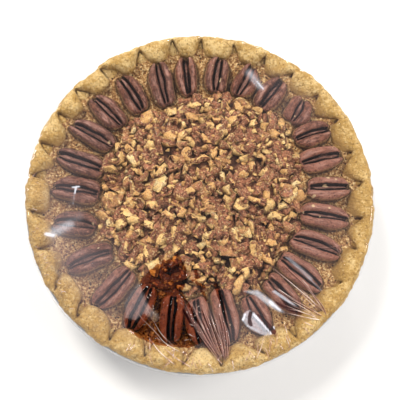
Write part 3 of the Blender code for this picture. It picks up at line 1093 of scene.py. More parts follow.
@dataclass
class PecanHalf:
    """One shelled pecan half lying on its flat side.

    Two long lobes run beside a lower ridge, parted from it by deep furrows.
    """

    node: str
    seed: int
    rows: int = 50
    top_columns: int = 43
    under_columns: int = 9
    furrow_offset: float = 2.0 * MM
    furrow_floor: float = 0.20
    ridge_height: float = 0.60
    notch: float = 2.4 * MM

    def measure(self) -> tuple[Array, Array, float, float, float]:
        """Return the solid's middle, its axes as rows, and its length, width and height."""
        points = np.unique(mesh_points(frame["nodes"][self.node]).round(7), axis=0)
        spread = np.linalg.norm(points[:, None] - points[None, :], axis=-1)
        first, second = np.unravel_index(np.argmax(spread), spread.shape)
        inner, outer = sorted((points[first], points[second]), key=lambda tip: np.hypot(*tip[:2]))
        along = (outer - inner) / np.linalg.norm(outer - inner)
        across = np.cross([0.0, 0.0, 1.0], along)
        across /= np.linalg.norm(across)
        upward = np.cross(along, across)
        local = (points - inner) @ np.array([along, across, upward]).T
        low, high = local.min(axis=0), local.max(axis=0)
        middle = inner + along * (low[0] + high[0]) / 2 + across * (low[1] + high[1]) / 2 + upward * low[2]
        size = high - low
        return middle, np.array([along, across, upward]), size[0], size[1], size[2]

    def build(self, material: Material) -> Piece:
        """Build the half over its solid and return the piece."""
        chance = np.random.default_rng(self.seed)
        noise = Lumps(self.seed + 500)
        middle, axes, length, width, height = self.measure()
        share = self._stations()[:, None]
        blunt = chance.uniform(2.3, 3.1)
        pear = share ** chance.uniform(0.70, 0.82)
        outline = 0.5 * width * (1.0 - np.abs(2.0 * pear - 1.0) ** blunt) ** 0.52
        rise = height * 1.05 * (0.32 + 0.68 * (1.0 - np.abs(2.0 * share - 1.0) ** 3.0) ** 0.75)
        top = np.linspace(-1.0, 1.0, self.top_columns)
        top = np.sign(top) * np.abs(top) ** 0.9
        under = np.linspace(1.0, -1.0, self.under_columns + 2)[1:-1]
        x = np.concatenate([top, under])[None, :]
        is_top = (np.arange(x.size) < self.top_columns)[None, :]
        swell = [1.0 + 0.11 * self._wave(noise, share * 3.4, 9.0 * side, 0.0) for side in (0, 1)]
        half_width = outline * np.where(x < 0.0, swell[0], swell[1])
        sideways = x * half_width

        offset = self.furrow_offset * chance.uniform(0.75, 1.25)
        breadth = chance.uniform(1.0, 1.65) * MM
        gap = np.minimum(offset * (0.5 + 0.5 * np.sin(math.pi * share)), 0.36 * outline)
        wander = [0.6 * MM * self._wave(noise, share * 4.0, 3.0 * side, 5.0) for side in (0, 1)]
        gap = gap + np.where(x < 0.0, wander[0], wander[1]) * np.sin(math.pi * share)
        lobe, ridge, furrow = self._section(sideways, half_width, np.maximum(gap, 0.3 * MM), breadth)
        lopsided = 1.0 + chance.uniform(-0.12, 0.12) * np.sign(x)
        open_end = smooth_step(share / 0.06) * smooth_step((1.0 - share) / 0.02)
        dip = self.furrow_floor + (1.0 - self.furrow_floor) * (1.0 - open_end) * 0.6
        crown = np.maximum(lobe * lopsided, ridge * self.ridge_height * chance.uniform(0.65, 1.1))
        crown = rise * (0.24 + 0.76 * (dip + (1.0 - dip) * crown))
        edge = unit((1.0 - np.abs(x)) / 0.08) ** 0.5
        crown = np.where(np.abs(x) > 0.92, 0.24 * rise + (crown - 0.24 * rise) * edge, crown)

        grain_at = np.stack([
            np.repeat(share * length, x.size, axis=1), sideways, np.full_like(sideways, self.seed * 0.01),
        ], axis=-1)
        knobs = noise.layered(grain_at * [0.6, 1.0, 1.0], 3.4 * MM, 3) * 0.75 * MM
        folds = (0.5 - np.abs(noise.layered(grain_at * [0.8, 0.6, 1.0], 2.4 * MM, 2))) * 0.65 * MM
        lines = noise.at(grain_at * [0.2, 1.0, 1.0], 0.9 * MM) * 0.2 * MM
        crown = crown + (knobs + folds + lines) * edge * smooth_step(share / 0.05)
        up = np.where(is_top, crown, 0.24 * rise * np.abs(x) ** 3.0)

        forward = (share - 0.5) * length + 0.0 * x
        split = np.exp(-((sideways / (2.1 * MM)) ** 2))
        forward = forward - self.notch * chance.uniform(0.5, 1.1) * split * smooth_step((share - 0.72) / 0.28)
        forward = forward + self.notch * chance.uniform(0.0, 0.6) * split * smooth_step((0.2 - share) / 0.2)
        ends = chance.uniform(-1.0, 1.0, 2) * MM
        lean = np.clip(x * 1.6, -1.0, 1.0)
        forward = forward + lean * (ends[0] * smooth_step((share - 0.6) / 0.4))
        forward = forward + lean * (ends[1] * smooth_step((0.4 - share) / 0.4))
        bend = chance.uniform(-1.0, 1.0) * MM * 4.0 * share * (1.0 - share)
        points = middle + np.stack([forward, sideways + bend, up], axis=-1) @ axes

        tips = []
        for ring, level in ((points[0], 0.2), (points[-1], 0.2)):
            tips.append(ring.mean(axis=0) * (1.0 - level) + ring[len(top) // 2] * level)
        piece = turned_piece(self.node.replace("pecan_half", "pecan_skin"), points, tips[0], tips[1])
        total = len(piece.data.vertices)

        def spread(values: Array) -> Array:
            """Return grid values padded for the two end points."""
            flat = np.broadcast_to(values, points.shape[:2]).ravel()
            return np.concatenate([flat, np.zeros(total - flat.size)])

        # Dark skin and painted shade in the furrows, broken up by a noise.
        worn = unit(0.95 + 0.5 * noise.at(grain_at * [0.5, 1.0, 1.0], 3.0 * MM))
        paint(piece, "furrow", spread(np.where(is_top, furrow * open_end * worn, 0.0)))
        paint(piece, "ridge", spread(np.where(is_top & (np.abs(sideways) < gap), ridge, 0.0)))
        # Painted highlight on the crests of the lobes and the ridge.
        crest = smooth_step((lobe - 0.88) / 0.12) + 0.8 * smooth_step((ridge - 0.6) / 0.4)
        crest = crest * unit(0.55 + 0.9 * noise.at(grain_at * [0.4, 1.0, 1.0], 2.6 * MM))
        paint(piece, "crest", spread(np.where(is_top, unit(crest) * open_end, 0.0)))
        paint(piece, "along", spread(forward))
        paint(piece, "across", spread(sideways))
        turn = math.atan2(middle[0], middle[1]) - math.radians(310.0)
        paint(piece, "tone", np.full(total, 0.45 + 0.35 * math.cos(turn) + chance.uniform(-0.2, 0.2)))
        hem = np.maximum(smooth_step((np.abs(x) - 0.70) / 0.30), smooth_step((share - 0.86) / 0.14))
        paint(piece, "hem", spread(0.68 * hem))
        world = mesh_points(piece)
        paint(piece, "cling", CLING.cover(world))
        paint(piece, "chip", self._chips(world, axes))
        piece.data.materials.append(material)
        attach(piece, BODY)
        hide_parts(self.node)
        return piece

    @staticmethod
    def _wave(noise: Lumps, x: Array, y: float, z: float) -> Array:
        """Return noise along a straight line of places, as one column."""
        return noise.at(np.stack(np.broadcast_arrays(x, y, z), axis=-1), 1.0)

    def _stations(self) -> Array:
        """Return shares of the length, closer together near the ends."""
        even = np.linspace(0.0, 1.0, self.rows + 2)[1:-1]
        return 0.5 - 0.5 * np.cos(math.pi * (0.05 + 0.90 * even))

    @staticmethod
    def _section(
        sideways: Array, half_width: Array, gap: Array, breadth: float
    ) -> tuple[Array, Array, Array]:
        """Return the lobes, the ridge and the furrows across the half, each 0 to 1."""
        away = np.abs(sideways)
        lobe_share = unit((away - gap) / np.maximum(half_width - gap, 0.2 * MM))
        swing = 2.0 * lobe_share**0.78 - 1.0
        lobe = np.where(
            swing < 0.0,
            (1.0 - np.abs(swing) ** 2.2) ** 0.85,
            unit(1.0 - np.abs(swing) ** 2.7) ** 0.55,
        )
        ridge = unit(1.0 - (away / gap) ** 2.4) ** 0.8
        furrow = smooth_step(1.25 - np.abs(away - gap) / breadth)
        return lobe, ridge, furrow

    @staticmethod
    def _chips(points: Array, axes: Array) -> Array:
        """Return how strongly each point lies in a chipped place."""
        total = np.zeros(len(points))
        for chip in CHIPS:
            away = points[:, :2] - polar(chip.radius_mm * MM, chip.bearing)[:2]
            lengthwise = away @ axes[0][:2] / chip.stretch
            sideways = away @ axes[1][:2]
            near = 1.0 - np.hypot(lengthwise, sideways) / (0.5 * chip.size_mm * MM)
            total = np.maximum(total, unit(near + 0.25))
        return total


# --- Filling ---


@dataclass
class Filling:
    """Plug of set syrup, foamy on top and drawn up round each half and to the crust."""

    finish: FillingFinish = FillingFinish()
    columns: int = 720
    crown: float = 37.5 * MM
    edge: float = 33.3 * MM
    radius: float = 110.6 * MM
    creep: float = 1.9 * MM
    climb: float = 3.3 * MM
    waist: tuple[float, float] = (110.0 * MM, 30.0 * MM)
    foot_radius: float = 92.4 * MM

    def height(self, radius: Array) -> Array:
        """Return the smooth top's height at a radius, before it climbs the crust."""
        return self.crown - (self.crown - self.edge) * (radius / self.radius) ** 2

    def build(self, effects: SharedEffects, halves: list[Piece]) -> Piece:
        """Build the filling and return the piece.

        Args:
            effects: Shared node groups.
            halves: The pecan halves that the syrup creeps up.

        Returns:
            The filling's piece.
        """
        radii = np.concatenate([np.arange(6.0, 66.0, 6.0), np.arange(66.0, 117.1, 0.75)]) * MM
        bearing = np.arange(self.columns) * 2.0 * math.pi / self.columns
        radius = radii[:, None]
        top = around_axis(radius, bearing, self.height(radius))
        shown = rise(radius, 60.0, 6.0)
        top[..., 2] += Lumps(51).layered(top, 5.5 * MM, 3) * 0.9 * MM * shown
        near = self._nearness(top, halves)
        top[..., 2] += smooth_step(near) * self.creep * shown
        climb = self.climb + 0.8 * MM * Lumps(52).layered(top * [1.0, 1.0, 0.0], 14.0 * MM, 2)
        top[..., 2] += rise(radius, 104.0, 9.5) * climb
        top[..., 2] -= np.clip(radius - 115.6 * MM, 0.0, None) * 0.8
        low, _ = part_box("filling")
        wall = [
            around_axis(self.waist[0], bearing, self.waist[1]),
            around_axis(self.foot_radius, bearing, low.z),
        ]
        piece = turned_piece(
            "filling_syrup",
            np.concatenate([top, np.array(wall)]),
            np.array([0.0, 0.0, self.crown]),
            np.array([0.0, 0.0, low.z]),
        )
        places = mesh_points(piece)
        paint(piece, "cling", CLING.cover(places))
        # Painted shade round the pecan halves.
        contact = np.zeros(len(places))
        contact[: near.size] = smooth_step((near.ravel() - 0.42) / 0.38)
        paint(piece, "contact", contact)
        out = np.hypot(places[:, 0], places[:, 1]) + 2.5 * MM * Lumps(53).layered(places, 9.0 * MM, 3)
        paint(piece, "froth", rise(out, 96.0, 18.0))
        dress(piece, self.finish.build(effects))
        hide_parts("filling")
        return piece

    @staticmethod
    def _nearness(points: Array, halves: list[Piece]) -> Array:
        """Return 1 under the halves, falling to 0 a few millimetres away."""
        cell, size = 0.5 * MM, 520
        covered = np.zeros((size, size), dtype=bool)
        for half in halves:
            places = mesh_points(half)[:, :2] / cell + size / 2
            column, row = np.rint(places).astype(int).T
            covered[row, column] = True
        near = covered.astype(float)
        for _ in range(5):
            near = np.maximum(near, spread_out(near) * 0.86)
        for _ in range(2):
            near = blurred(near)
        return bilinear(near, points[..., :2] / cell + size / 2)


def spread_out(values: Array) -> Array:
    """Return each cell's greatest neighbour."""
    out = values.copy()
    for axis in (0, 1):
        for step in (-1, 1):
            out = np.maximum(out, np.roll(values, step, axis))
    return out


def blurred(values: Array) -> Array:
    """Return values averaged with their four neighbours."""
    total = values.copy()
    for axis in (0, 1):
        for step in (-1, 1):
            total = total + np.roll(values, step, axis)
    return total / 5.0


def raise_cells(grid: Array, cell: float, points: Array) -> None:
    """Raise the heights in a square grid round the pie's axis to the points over it.

    Args:
        grid: Heights, in rows (y) and columns (x), changed in place.
        cell: Size of one cell.
        points: Points, one row each.
    """
    column, row = np.rint(points[:, :2] / cell + len(grid) / 2).astype(int).T
    inside = (column >= 0) & (column < len(grid)) & (row >= 0) & (row < len(grid))
    np.maximum.at(grid, (row[inside], column[inside]), points[inside, 2])


def bilinear(values: Array, place: Array) -> Array:
    """Return a grid sampled between its cells.

    Args:
        values: Grid of rows (y) and columns (x).
        place: Column and row of each sample, in the last axis.

    Returns:
        One value per sample.
    """
    limit = np.array([values.shape[1] - 1.001, values.shape[0] - 1.001])
    place = np.clip(place, 0.0, limit)
    cell = place.astype(int)
    part = place - cell
    column, row = cell[..., 0], cell[..., 1]
    across, up = part[..., 0], part[..., 1]
    lower = values[row, column] * (1 - across) + values[row, column + 1] * across
    upper = values[row + 1, column] * (1 - across) + values[row + 1, column + 1] * across
    return lower * (1 - up) + upper * up


# --- Chopped pecans ---


@dataclass(frozen=True)
class ChopKind:
    """How one kind of chopped piece is cut and strewn.

    Spans, spacing and depth are in metres; tilt is how far, in radians, a piece may
    lean over from lying skin side up.
    """

    name: str
    shapes: int
    span: tuple[float, float]
    spacing: float
    density: float
    sizes: tuple[float, float]
    tilt: float
    sunk: float
    seed: int
    has_skin: bool = True


CHOP_KINDS = (
    ChopKind("large", 14, (15.0 * MM, 11.0 * MM), 10.5 * MM, 16000.0, (0.80, 1.2), 0.45, 1.4 * MM, 3),
    ChopKind("skinned", 18, (11.4 * MM, 8.4 * MM), 8.1 * MM, 42000.0, (0.85, 1.35), 0.7, 1.3 * MM, 5),
    ChopKind("fleshy", 18, (9.2 * MM, 6.6 * MM), 7.3 * MM, 50000.0, (0.75, 1.35), 3.1, 1.0 * MM, 11),
    ChopKind("crumb", 12, (5.2 * MM, 4.0 * MM), 5.2 * MM, 90000.0, (0.6, 1.25), 3.1, 0.3 * MM, 8, False),
)


@dataclass
class ChoppedBed:
    """Heap of chopped pecans: a low core strewn with real chopped pieces."""

    finish: ChoppedFinish = ChoppedFinish()
    core_drop: float = 3.6 * MM
    core_columns: int = 180
    lowest_level: float = 34.0 * MM
    under_height: float = 36.0 * MM
    shade_from: float = 0.6 * MM
    shade_over: float = 2.3 * MM
    cell: float = 0.8 * MM
    cells: int = 270

    def build(self, effects: SharedEffects) -> list[Piece]:
        """Build the core and the strewn pieces and return them."""
        material = self.finish.build(effects)
        core = self._core()
        pieces = [core] + [self._strew(kind, core, material) for kind in CHOP_KINDS]
        paint(core, "cut", np.full(len(core.data.vertices), 0.1))
        paint(core, "tone", np.full(len(core.data.vertices), 0.6))
        level = self._level(pieces)
        for piece in pieces:
            places = mesh_points(piece)
            # Painted shade in the crevices, from how far each point lies below the heap's tops.
            below = bilinear(level, places[:, :2] / self.cell + self.cells / 2) - places[:, 2]
            paint(piece, "deep", smooth_step((below - self.shade_from) / self.shade_over))
            paint(piece, "cling", CLING.cover(places))
            dress(piece, material)
            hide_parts("chopped_pecans")
        return pieces

    def _level(self, pieces: list[Piece]) -> Array:
        """Return the height of the heap's tops, evened out over a few millimetres."""
        level = np.full((self.cells, self.cells), self.lowest_level)
        for piece in pieces:
            raise_cells(level, self.cell, mesh_points(piece))
        for _ in range(2):
            level = spread_out(level)
        for _ in range(6):
            level = blurred(level)
        return level

    def _reach(self) -> Array:
        """Return how far the bed runs out, for each column's bearing."""
        points = mesh_points(frame["nodes"]["chopped_pecans"])
        radius = np.hypot(points[:, 0], points[:, 1])
        bearing = np.degrees(np.arctan2(points[:, 0], points[:, 1])) % 360.0
        outer = radius > 55.0 * MM
        slots = np.rint(bearing[outer] / 7.5).astype(int) % 48
        reach = np.zeros(48)
        np.maximum.at(reach, slots, radius[outer])
        turn = np.arange(self.core_columns) * 360.0 / self.core_columns
        return np.interp(turn, np.arange(49) * 7.5, np.append(reach, reach[0]))

    def _core(self) -> Piece:
        """Build the lumpy core that the chopped pieces lie on."""
        reach = self._reach()
        filling = Filling()
        shares = np.array([0.08, 0.2, 0.32, 0.44, 0.56, 0.66, 0.76, 0.84, 0.91, 0.96, 0.99, 1.0])
        lifts = np.array([1, 1, 1, 1, 1, 1, 1, 0.97, 0.86, 0.62, 0.3, -0.15])
        bearing = np.arange(self.core_columns) * 2.0 * math.pi / self.core_columns
        radius = shares[:, None] * reach[None, :]
        _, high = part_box("chopped_pecans")
        depth = high.z - self.core_drop - filling.crown
        height = filling.height(radius) + lifts[:, None] * depth
        top = around_axis(radius, bearing, height)
        top[..., 2] += Lumps(61).layered(top, 9.0 * MM, 2) * 0.8 * MM * np.clip(lifts, 0, 1)[:, None]
        under = top[-1:].copy()
        under[..., 2] -= 0.6 * MM
        hub = np.array([0.0, 0.0, filling.crown + depth])
        foot = np.array([0.0, 0.0, self.under_height])
        return turned_piece("chopped_core", np.concatenate([top, under]), hub, foot)

    def _strew(self, kind: ChopKind, core: Piece, material: Material) -> Piece:
        """Strew one kind of piece over the core and return them as one mesh."""
        store = bpy.data.collections.new(f"shapes_{kind.name}")
        for number in range(kind.shapes):
            store.objects.link(self._chop(kind, number))
        data = core.data.copy()
        data.transform(Matrix.Translation((0.0, 0.0, -kind.sunk)))
        carrier = link(bpy.data.objects.new("carrier", data))
        tree = strewing_tree(material)
        modifier = carrier.modifiers.new("strew", "NODES")
        modifier.node_group = tree
        settings = {
            "Shapes": store,
            "Spacing": kind.spacing,
            "Density": kind.density,
            "Smallest": kind.sizes[0],
            "Largest": kind.sizes[1],
            "Least Turn": (-kind.tilt, -kind.tilt, 0.0),
            "Most Turn": (kind.tilt, kind.tilt, math.tau),
            "Seed": kind.seed,
        }
        for item in tree.interface.items_tree:
            if item.item_type == "SOCKET" and item.name in settings:
                modifier[item.identifier] = settings[item.name]
        bpy.context.view_layer.update()
        ready = carrier.evaluated_get(bpy.context.evaluated_depsgraph_get())
        strewn = bpy.data.meshes.new_from_object(ready)
        strewn.name = f"chopped_{kind.name}"
        bpy.data.objects.remove(carrier, do_unlink=True)
        for shape in list(store.objects):
            bpy.data.objects.remove(shape, do_unlink=True)
        bpy.data.collections.remove(store)
        return link(bpy.data.objects.new(strewn.name, strewn))

    def _chop(self, kind: ChopKind, number: int) -> Piece:
        """Cut one chopped piece out of a small model of a pecan half."""
        chance = np.random.default_rng(kind.seed * 100 + number)
        shape = self._small_half(chance)
        cut = shape.faces.layers.float.new("cut_face")
        worn = shape.verts.layers.float.new("cut")
        heart = Vector((chance.uniform(-9, 9) * MM, chance.uniform(-4.2, 4.2) * MM, 5.0 * MM))
        turn = chance.uniform(0.0, math.pi)
        long_side, short_side = kind.span
        for side in range(5):
            angle = turn + side * 2.0 * math.pi / 5.0 + chance.normal(0.0, 0.25)
            along = abs(math.cos(angle - turn))
            reach = 0.5 * (short_side + (long_side - short_side) * along) * chance.uniform(0.8, 1.15)
            outward = Vector((math.cos(angle), math.sin(angle), chance.normal(0.0, 0.35))).normalized()
            self._slice(shape, cut, heart + outward * reach, outward)
        down = Vector((chance.normal(0.0, 0.3), chance.normal(0.0, 0.3), -1.0)).normalized()
        self._slice(shape, cut, heart + down * 0.42 * short_side, down)
        if not kind.has_skin:
            up = Vector((chance.normal(0.0, 0.6), chance.normal(0.0, 0.6), 1.0)).normalized()
            self._slice(shape, cut, heart + up * 0.4 * short_side, up)
        for vertex in shape.verts:
            vertex[worn] = sum(face[cut] for face in vertex.link_faces) / max(len(vertex.link_faces), 1)
        shape.faces.layers.float.remove(cut)
        for _ in range(2):
            bmesh.ops.smooth_vert(
                shape, verts=shape.verts, factor=0.42, use_axis_x=True, use_axis_y=True, use_axis_z=True
            )
        middle = sum((vertex.co for vertex in shape.verts), Vector()) / max(len(shape.verts), 1)
        bmesh.ops.translate(shape, verts=shape.verts, vec=-middle)
        bmesh.ops.recalc_face_normals(shape, faces=shape.faces)
        bmesh.ops.triangulate(shape, faces=shape.faces)
        data = bpy.data.meshes.new(f"chop_{kind.name}_{number}")
        shape.to_mesh(data)
        shape.free()
        data.shade_smooth()
        data.set_sharp_from_angle(angle=math.radians(85.0))
        return bpy.data.objects.new(data.name, data)

    @staticmethod
    def _small_half(chance: np.random.Generator) -> bmesh.types.BMesh:
        """Return a coarse, closed pecan half lying along X, for cutting up."""
        shape = bmesh.new()
        rows, columns = 10, 9
        grid = []
        for row in range(rows):
            share = (row + 0.5) / rows
            width = 8.5 * MM * (1.0 - abs(2.0 * share - 1.0) ** 3.0) ** 0.55
            ring = []
            for column in range(columns):
                x = -1.0 + 2.0 * column / (columns - 1)
                lobe = 1.0 - 0.42 * math.exp(-(((abs(x) - 0.27) / 0.12) ** 2))
                up = 8.5 * MM * (0.3 + 0.7 * (1.0 - abs(x) ** 2.5) ** 0.6) * lobe
                ring.append(shape.verts.new((
                    (share - 0.5) * 33.0 * MM + chance.normal(0.0, 0.35) * MM,
                    x * width + chance.normal(0.0, 0.25) * MM,
                    up + chance.normal(0.0, 0.45) * MM,
                )))
            ring.append(shape.verts.new(((share - 0.5) * 33.0 * MM, 0.45 * width, 0.4 * MM)))
            ring.append(shape.verts.new(((share - 0.5) * 33.0 * MM, -0.45 * width, 0.4 * MM)))
            grid.append(ring)
        for first, second in zip(grid, grid[1:]):
            for index in range(len(first)):
                after = (index + 1) % len(first)
                shape.faces.new((first[index], first[after], second[after], second[index]))
        shape.faces.new(grid[0][::-1])
        shape.faces.new(grid[-1])
        return shape

    @staticmethod
    def _slice(shape: bmesh.types.BMesh, cut: object, where: Vector, outward: Vector) -> None:
        """Cut off what lies outward of a plane and close the cut with flesh."""
        everything = shape.verts[:] + shape.edges[:] + shape.faces[:]
        bmesh.ops.bisect_plane(
            shape, geom=everything, plane_co=where, plane_no=outward, clear_outer=True
        )
        rim = [edge for edge in shape.edges if edge.is_boundary]
        if not rim:
            return
        for face in bmesh.ops.holes_fill(shape, edges=rim, sides=0)["faces"]:
            face[cut] = 1.0


def strewing_tree(material: Material) -> Tree:
    """Return the Geometry Nodes tree that strews shapes over a surface.

    Args:
        material: Material of the strewn shapes.

    Returns:
        A tree with inputs for the shapes, their spacing, sizes and seed.
    """
    tree = bpy.data.node_groups.new("strew_pieces", "GeometryNodeTree")
    kinds = {
        "Geometry": "Geometry", "Shapes": "Collection", "Spacing": "Float", "Density": "Float",
        "Smallest": "Float", "Largest": "Float", "Least Turn": "Vector", "Most Turn": "Vector",
        "Seed": "Int",
    }
    for name, kind in kinds.items():
        tree.interface.new_socket(name=name, in_out="INPUT", socket_type=f"NodeSocket{kind}")
    tree.interface.new_socket(name="Geometry", in_out="OUTPUT", socket_type="NodeSocketGeometry")
    wiring = Wiring(tree)
    given = wiring.add("NodeGroupInput").outputs
    split = wiring.add("ShaderNodeSeparateXYZ", {0: wiring.add("GeometryNodeInputNormal").outputs[0]})
    upward = wiring.add(
        "FunctionNodeCompare", {0: split.outputs[2], 1: 0.25}, data_type="FLOAT", operation="GREATER_THAN"
    )
    strewn = wiring.add("GeometryNodeDistributePointsOnFaces", distribute_method="POISSON")
    wiring.join(strewn, {
        "Mesh": given["Geometry"],
        "Selection": upward.outputs[0],
        "Distance Min": given["Spacing"],
        "Density Max": given["Density"],
        "Seed": given["Seed"],
    })
    shapes = wiring.add(
        "GeometryNodeCollectionInfo",
        {"Collection": given["Shapes"], "Separate Children": True, "Reset Children": True},
    )
    turning = wiring.add("FunctionNodeRandomValue", data_type="FLOAT_VECTOR")
    wiring.join(turning, {0: given["Least Turn"], 1: given["Most Turn"], "Seed": given["Seed"]})
    sizing = wiring.add("FunctionNodeRandomValue", data_type="FLOAT")
    wiring.join(sizing, {2: given["Smallest"], 3: given["Largest"], "Seed": given["Seed"]})
    placed = wiring.add("GeometryNodeInstanceOnPoints", {
        "Points": strewn.outputs["Points"],
        "Instance": shapes.outputs[0],
        "Pick Instance": True,
        "Rotation": turning.outputs[0],
        "Scale": sizing.outputs[1],
    })
    tone = wiring.add("FunctionNodeRandomValue", {"Seed": 77}, data_type="FLOAT")
    marked = wiring.add("GeometryNodeStoreNamedAttribute", data_type="FLOAT", domain="INSTANCE")
    wiring.join(marked, {"Name": "tone", "Geometry": placed.outputs[0], "Value": tone.outputs[1]})
    solid = wiring.add("GeometryNodeRealizeInstances", {0: marked.outputs[0]})
    dressed = wiring.add("GeometryNodeSetMaterial", {"Geometry": solid.outputs[0], "Material": material})
    wiring.feed(wiring.add("NodeGroupOutput").inputs[0], dressed.outputs[0])
    return tree


# --- Film ---


@dataclass(frozen=True)
class Wrinkle:
    """A pulled fold in the film, running through a few places.

    Each place is a bearing and a radius in millimetres; sizes are in millimetres.
    One flank of the fold is painted bright, a painted highlight, and the other painted dark, painted shade.
    """

    path: tuple[tuple[float, float], ...]
    width: float = 0.9
    height: float = 0.5
    brightness: float = 0.55
    darkness: float = 0.5
    fade_in: float = 0.06

    def line(self, count: int) -> tuple[Array, Array]:
        """Return points along the fold in plan, and the direction across it at each."""
        places = np.array([polar(radius * MM, bearing)[:2] for bearing, radius in self.path])
        line = smooth_curve(places, count)
        run = np.gradient(line, axis=0)
        side = np.stack([-run[:, 1], run[:, 0]], axis=-1)
        return line, side / np.linalg.norm(side, axis=1)[:, None]


@dataclass(frozen=True)
class Patch:
    """A soft-edged patch of the film: a painted highlight among the sheen patches, painted shade among the
    shadow patches.
    """

    shape: Strip | Outline
    strength: float
    softness_mm: float = 1.0

    def cover(self, points: Array) -> Array:
        """Return the patch's strength at each point."""
        depth = self.shape.depth(points) / (self.softness_mm * MM)
        return self.strength * smooth_step(depth + 0.5)


# Painted highlights and glare on the film.
PAINTED_SHEENS = (
    Patch(Strip((22.0, 98.0), (29.5, 91.0), 5.0, 4.0), 0.32, 8.0),
    Patch(Strip((26.5, 94.0), (31.0, 90.5), 0.8, 0.8), 0.85, 1.6),
    Patch(Strip((24.0, 93.0), (28.0, 90.0), 0.6, 0.5), 0.45, 1.6),
    Patch(Strip((270.0, 86.4), (269.6, 91.0), 0.9, 0.7), 0.90, 1.2),
    Patch(Strip((269.8, 88.4), (266.6, 89.4), 1.2, 0.6), 0.90, 1.2),
    Patch(Strip((266.6, 89.4), (262.0, 90.6), 0.6, 0.6), 0.35, 1.6),
    Patch(Strip((266.0, 90.0), (258.0, 96.0), 1.0, 2.0), 0.14, 6.0),
    Patch(Strip((252.4, 112.0), (251.2, 107.5), 1.8, 2.4), 0.90, 3.0),
    Patch(Strip((252.0, 107.0), (253.4, 95.0), 8.0, 6.0), 0.36, 9.0),
    Patch(Strip((252.0, 104.0), (256.0, 88.0), 12.0, 8.0), 0.16, 14.0),
    Patch(Outline((
        (158.5, 77.5), (154.5, 82.7), (152.8, 87.9), (151.1, 93.8), (148.8, 100.1), (147.3, 102.1),
        (148.3, 96.5), (148.7, 92.0), (149.5, 89.7), (150.8, 85.2), (152.2, 80.7),
    )), 0.40, 3.0),
    Patch(Strip((150.0, 91.5), (148.2, 99.5), 2.6, 1.2), 0.85, 2.0),
    Patch(Outline((
        (146.9, 86.3), (145.4, 86.7), (143.6, 93.9), (142.0, 104.2), (142.8, 103.8), (144.7, 95.1),
    )), 0.42, 1.4),
    Patch(Outline((
        (163.7, 94.5), (162.4, 91.2), (160.6, 90.1), (159.1, 90.5), (157.9, 92.8), (157.2, 96.0),
        (156.6, 101.3), (156.0, 106.6), (155.0, 110.5), (157.5, 109.4), (159.1, 106.8), (161.3, 102.7),
        (162.9, 98.6),
    )), 0.34, 1.2),
    Patch(Strip((163.2, 94.8), (161.6, 91.8), 1.5, 1.0), 0.92, 1.0),
    Patch(Strip((158.4, 93.8), (155.2, 109.8), 1.6, 0.8), 0.92, 1.0),
    Patch(Strip((162.4, 99.0), (158.6, 106.0), 0.9, 0.8), 0.70, 1.2),
    Patch(Strip((153.4, 106.6), (153.6, 108.0), 0.9, 0.7), 0.95, 0.9),
    Patch(Strip((129.6, 78.0), (130.6, 98.0), 2.0, 2.6), 0.24, 3.0),
    Patch(Strip((130.3, 75.7), (131.3, 108.7), 0.5, 0.5), 0.35, 1.2),
    Patch(Outline((
        (213.0, 78.0), (207.7, 84.7), (205.1, 87.7), (202.7, 89.7), (198.5, 92.5), (198.0, 96.0),
        (199.2, 97.0), (201.5, 95.3), (204.2, 94.2), (205.8, 101.0), (209.4, 102.8), (213.0, 95.0),
    )), 0.13, 1.2),
    Patch(Strip((246.0, 119.0), (236.0, 113.0), 2.0, 4.0), 0.18, 8.0),
    Patch(Strip((228.0, 116.0), (214.0, 118.0), 2.0, 2.0), 0.14, 8.0),
)


# Painted shade on the film: dark slivers and strips.
SHADOWS = (
    Patch(Outline((
        (159.8, 91.2), (158.2, 91.6), (160.1, 96.2), (160.4, 100.9), (161.4, 100.2), (161.9, 97.9),
        (160.9, 93.8),
    )), 1.0, 0.9),
    Patch(Outline((
        (157.9, 93.2), (156.2, 95.6), (154.8, 100.4), (153.2, 109.5), (154.1, 111.1), (155.0, 110.4),
        (155.8, 105.2), (156.4, 99.9),
    )), 1.0, 0.9),
    Patch(Outline((
        (148.0, 92.4), (146.0, 96.7), (141.9, 110.0), (142.8, 109.9), (145.5, 103.5), (147.9, 95.4),
    )), 1.0, 0.9),
    Patch(Outline((
        (145.8, 92.6), (143.6, 99.7), (141.8, 105.1), (142.8, 105.8), (145.1, 100.2),
    )), 0.9, 0.9),
    Patch(Strip((188.2, 85.5), (183.8, 95.4), 1.6, 1.2), 0.9, 1.0),
    Patch(Strip((186.4, 80.6), (180.4, 97.0), 1.0, 1.2), 0.8, 1.0),
    Patch(Strip((129.4, 75.2), (127.9, 103.5), 0.5, 0.4), 0.35, 0.9),
)


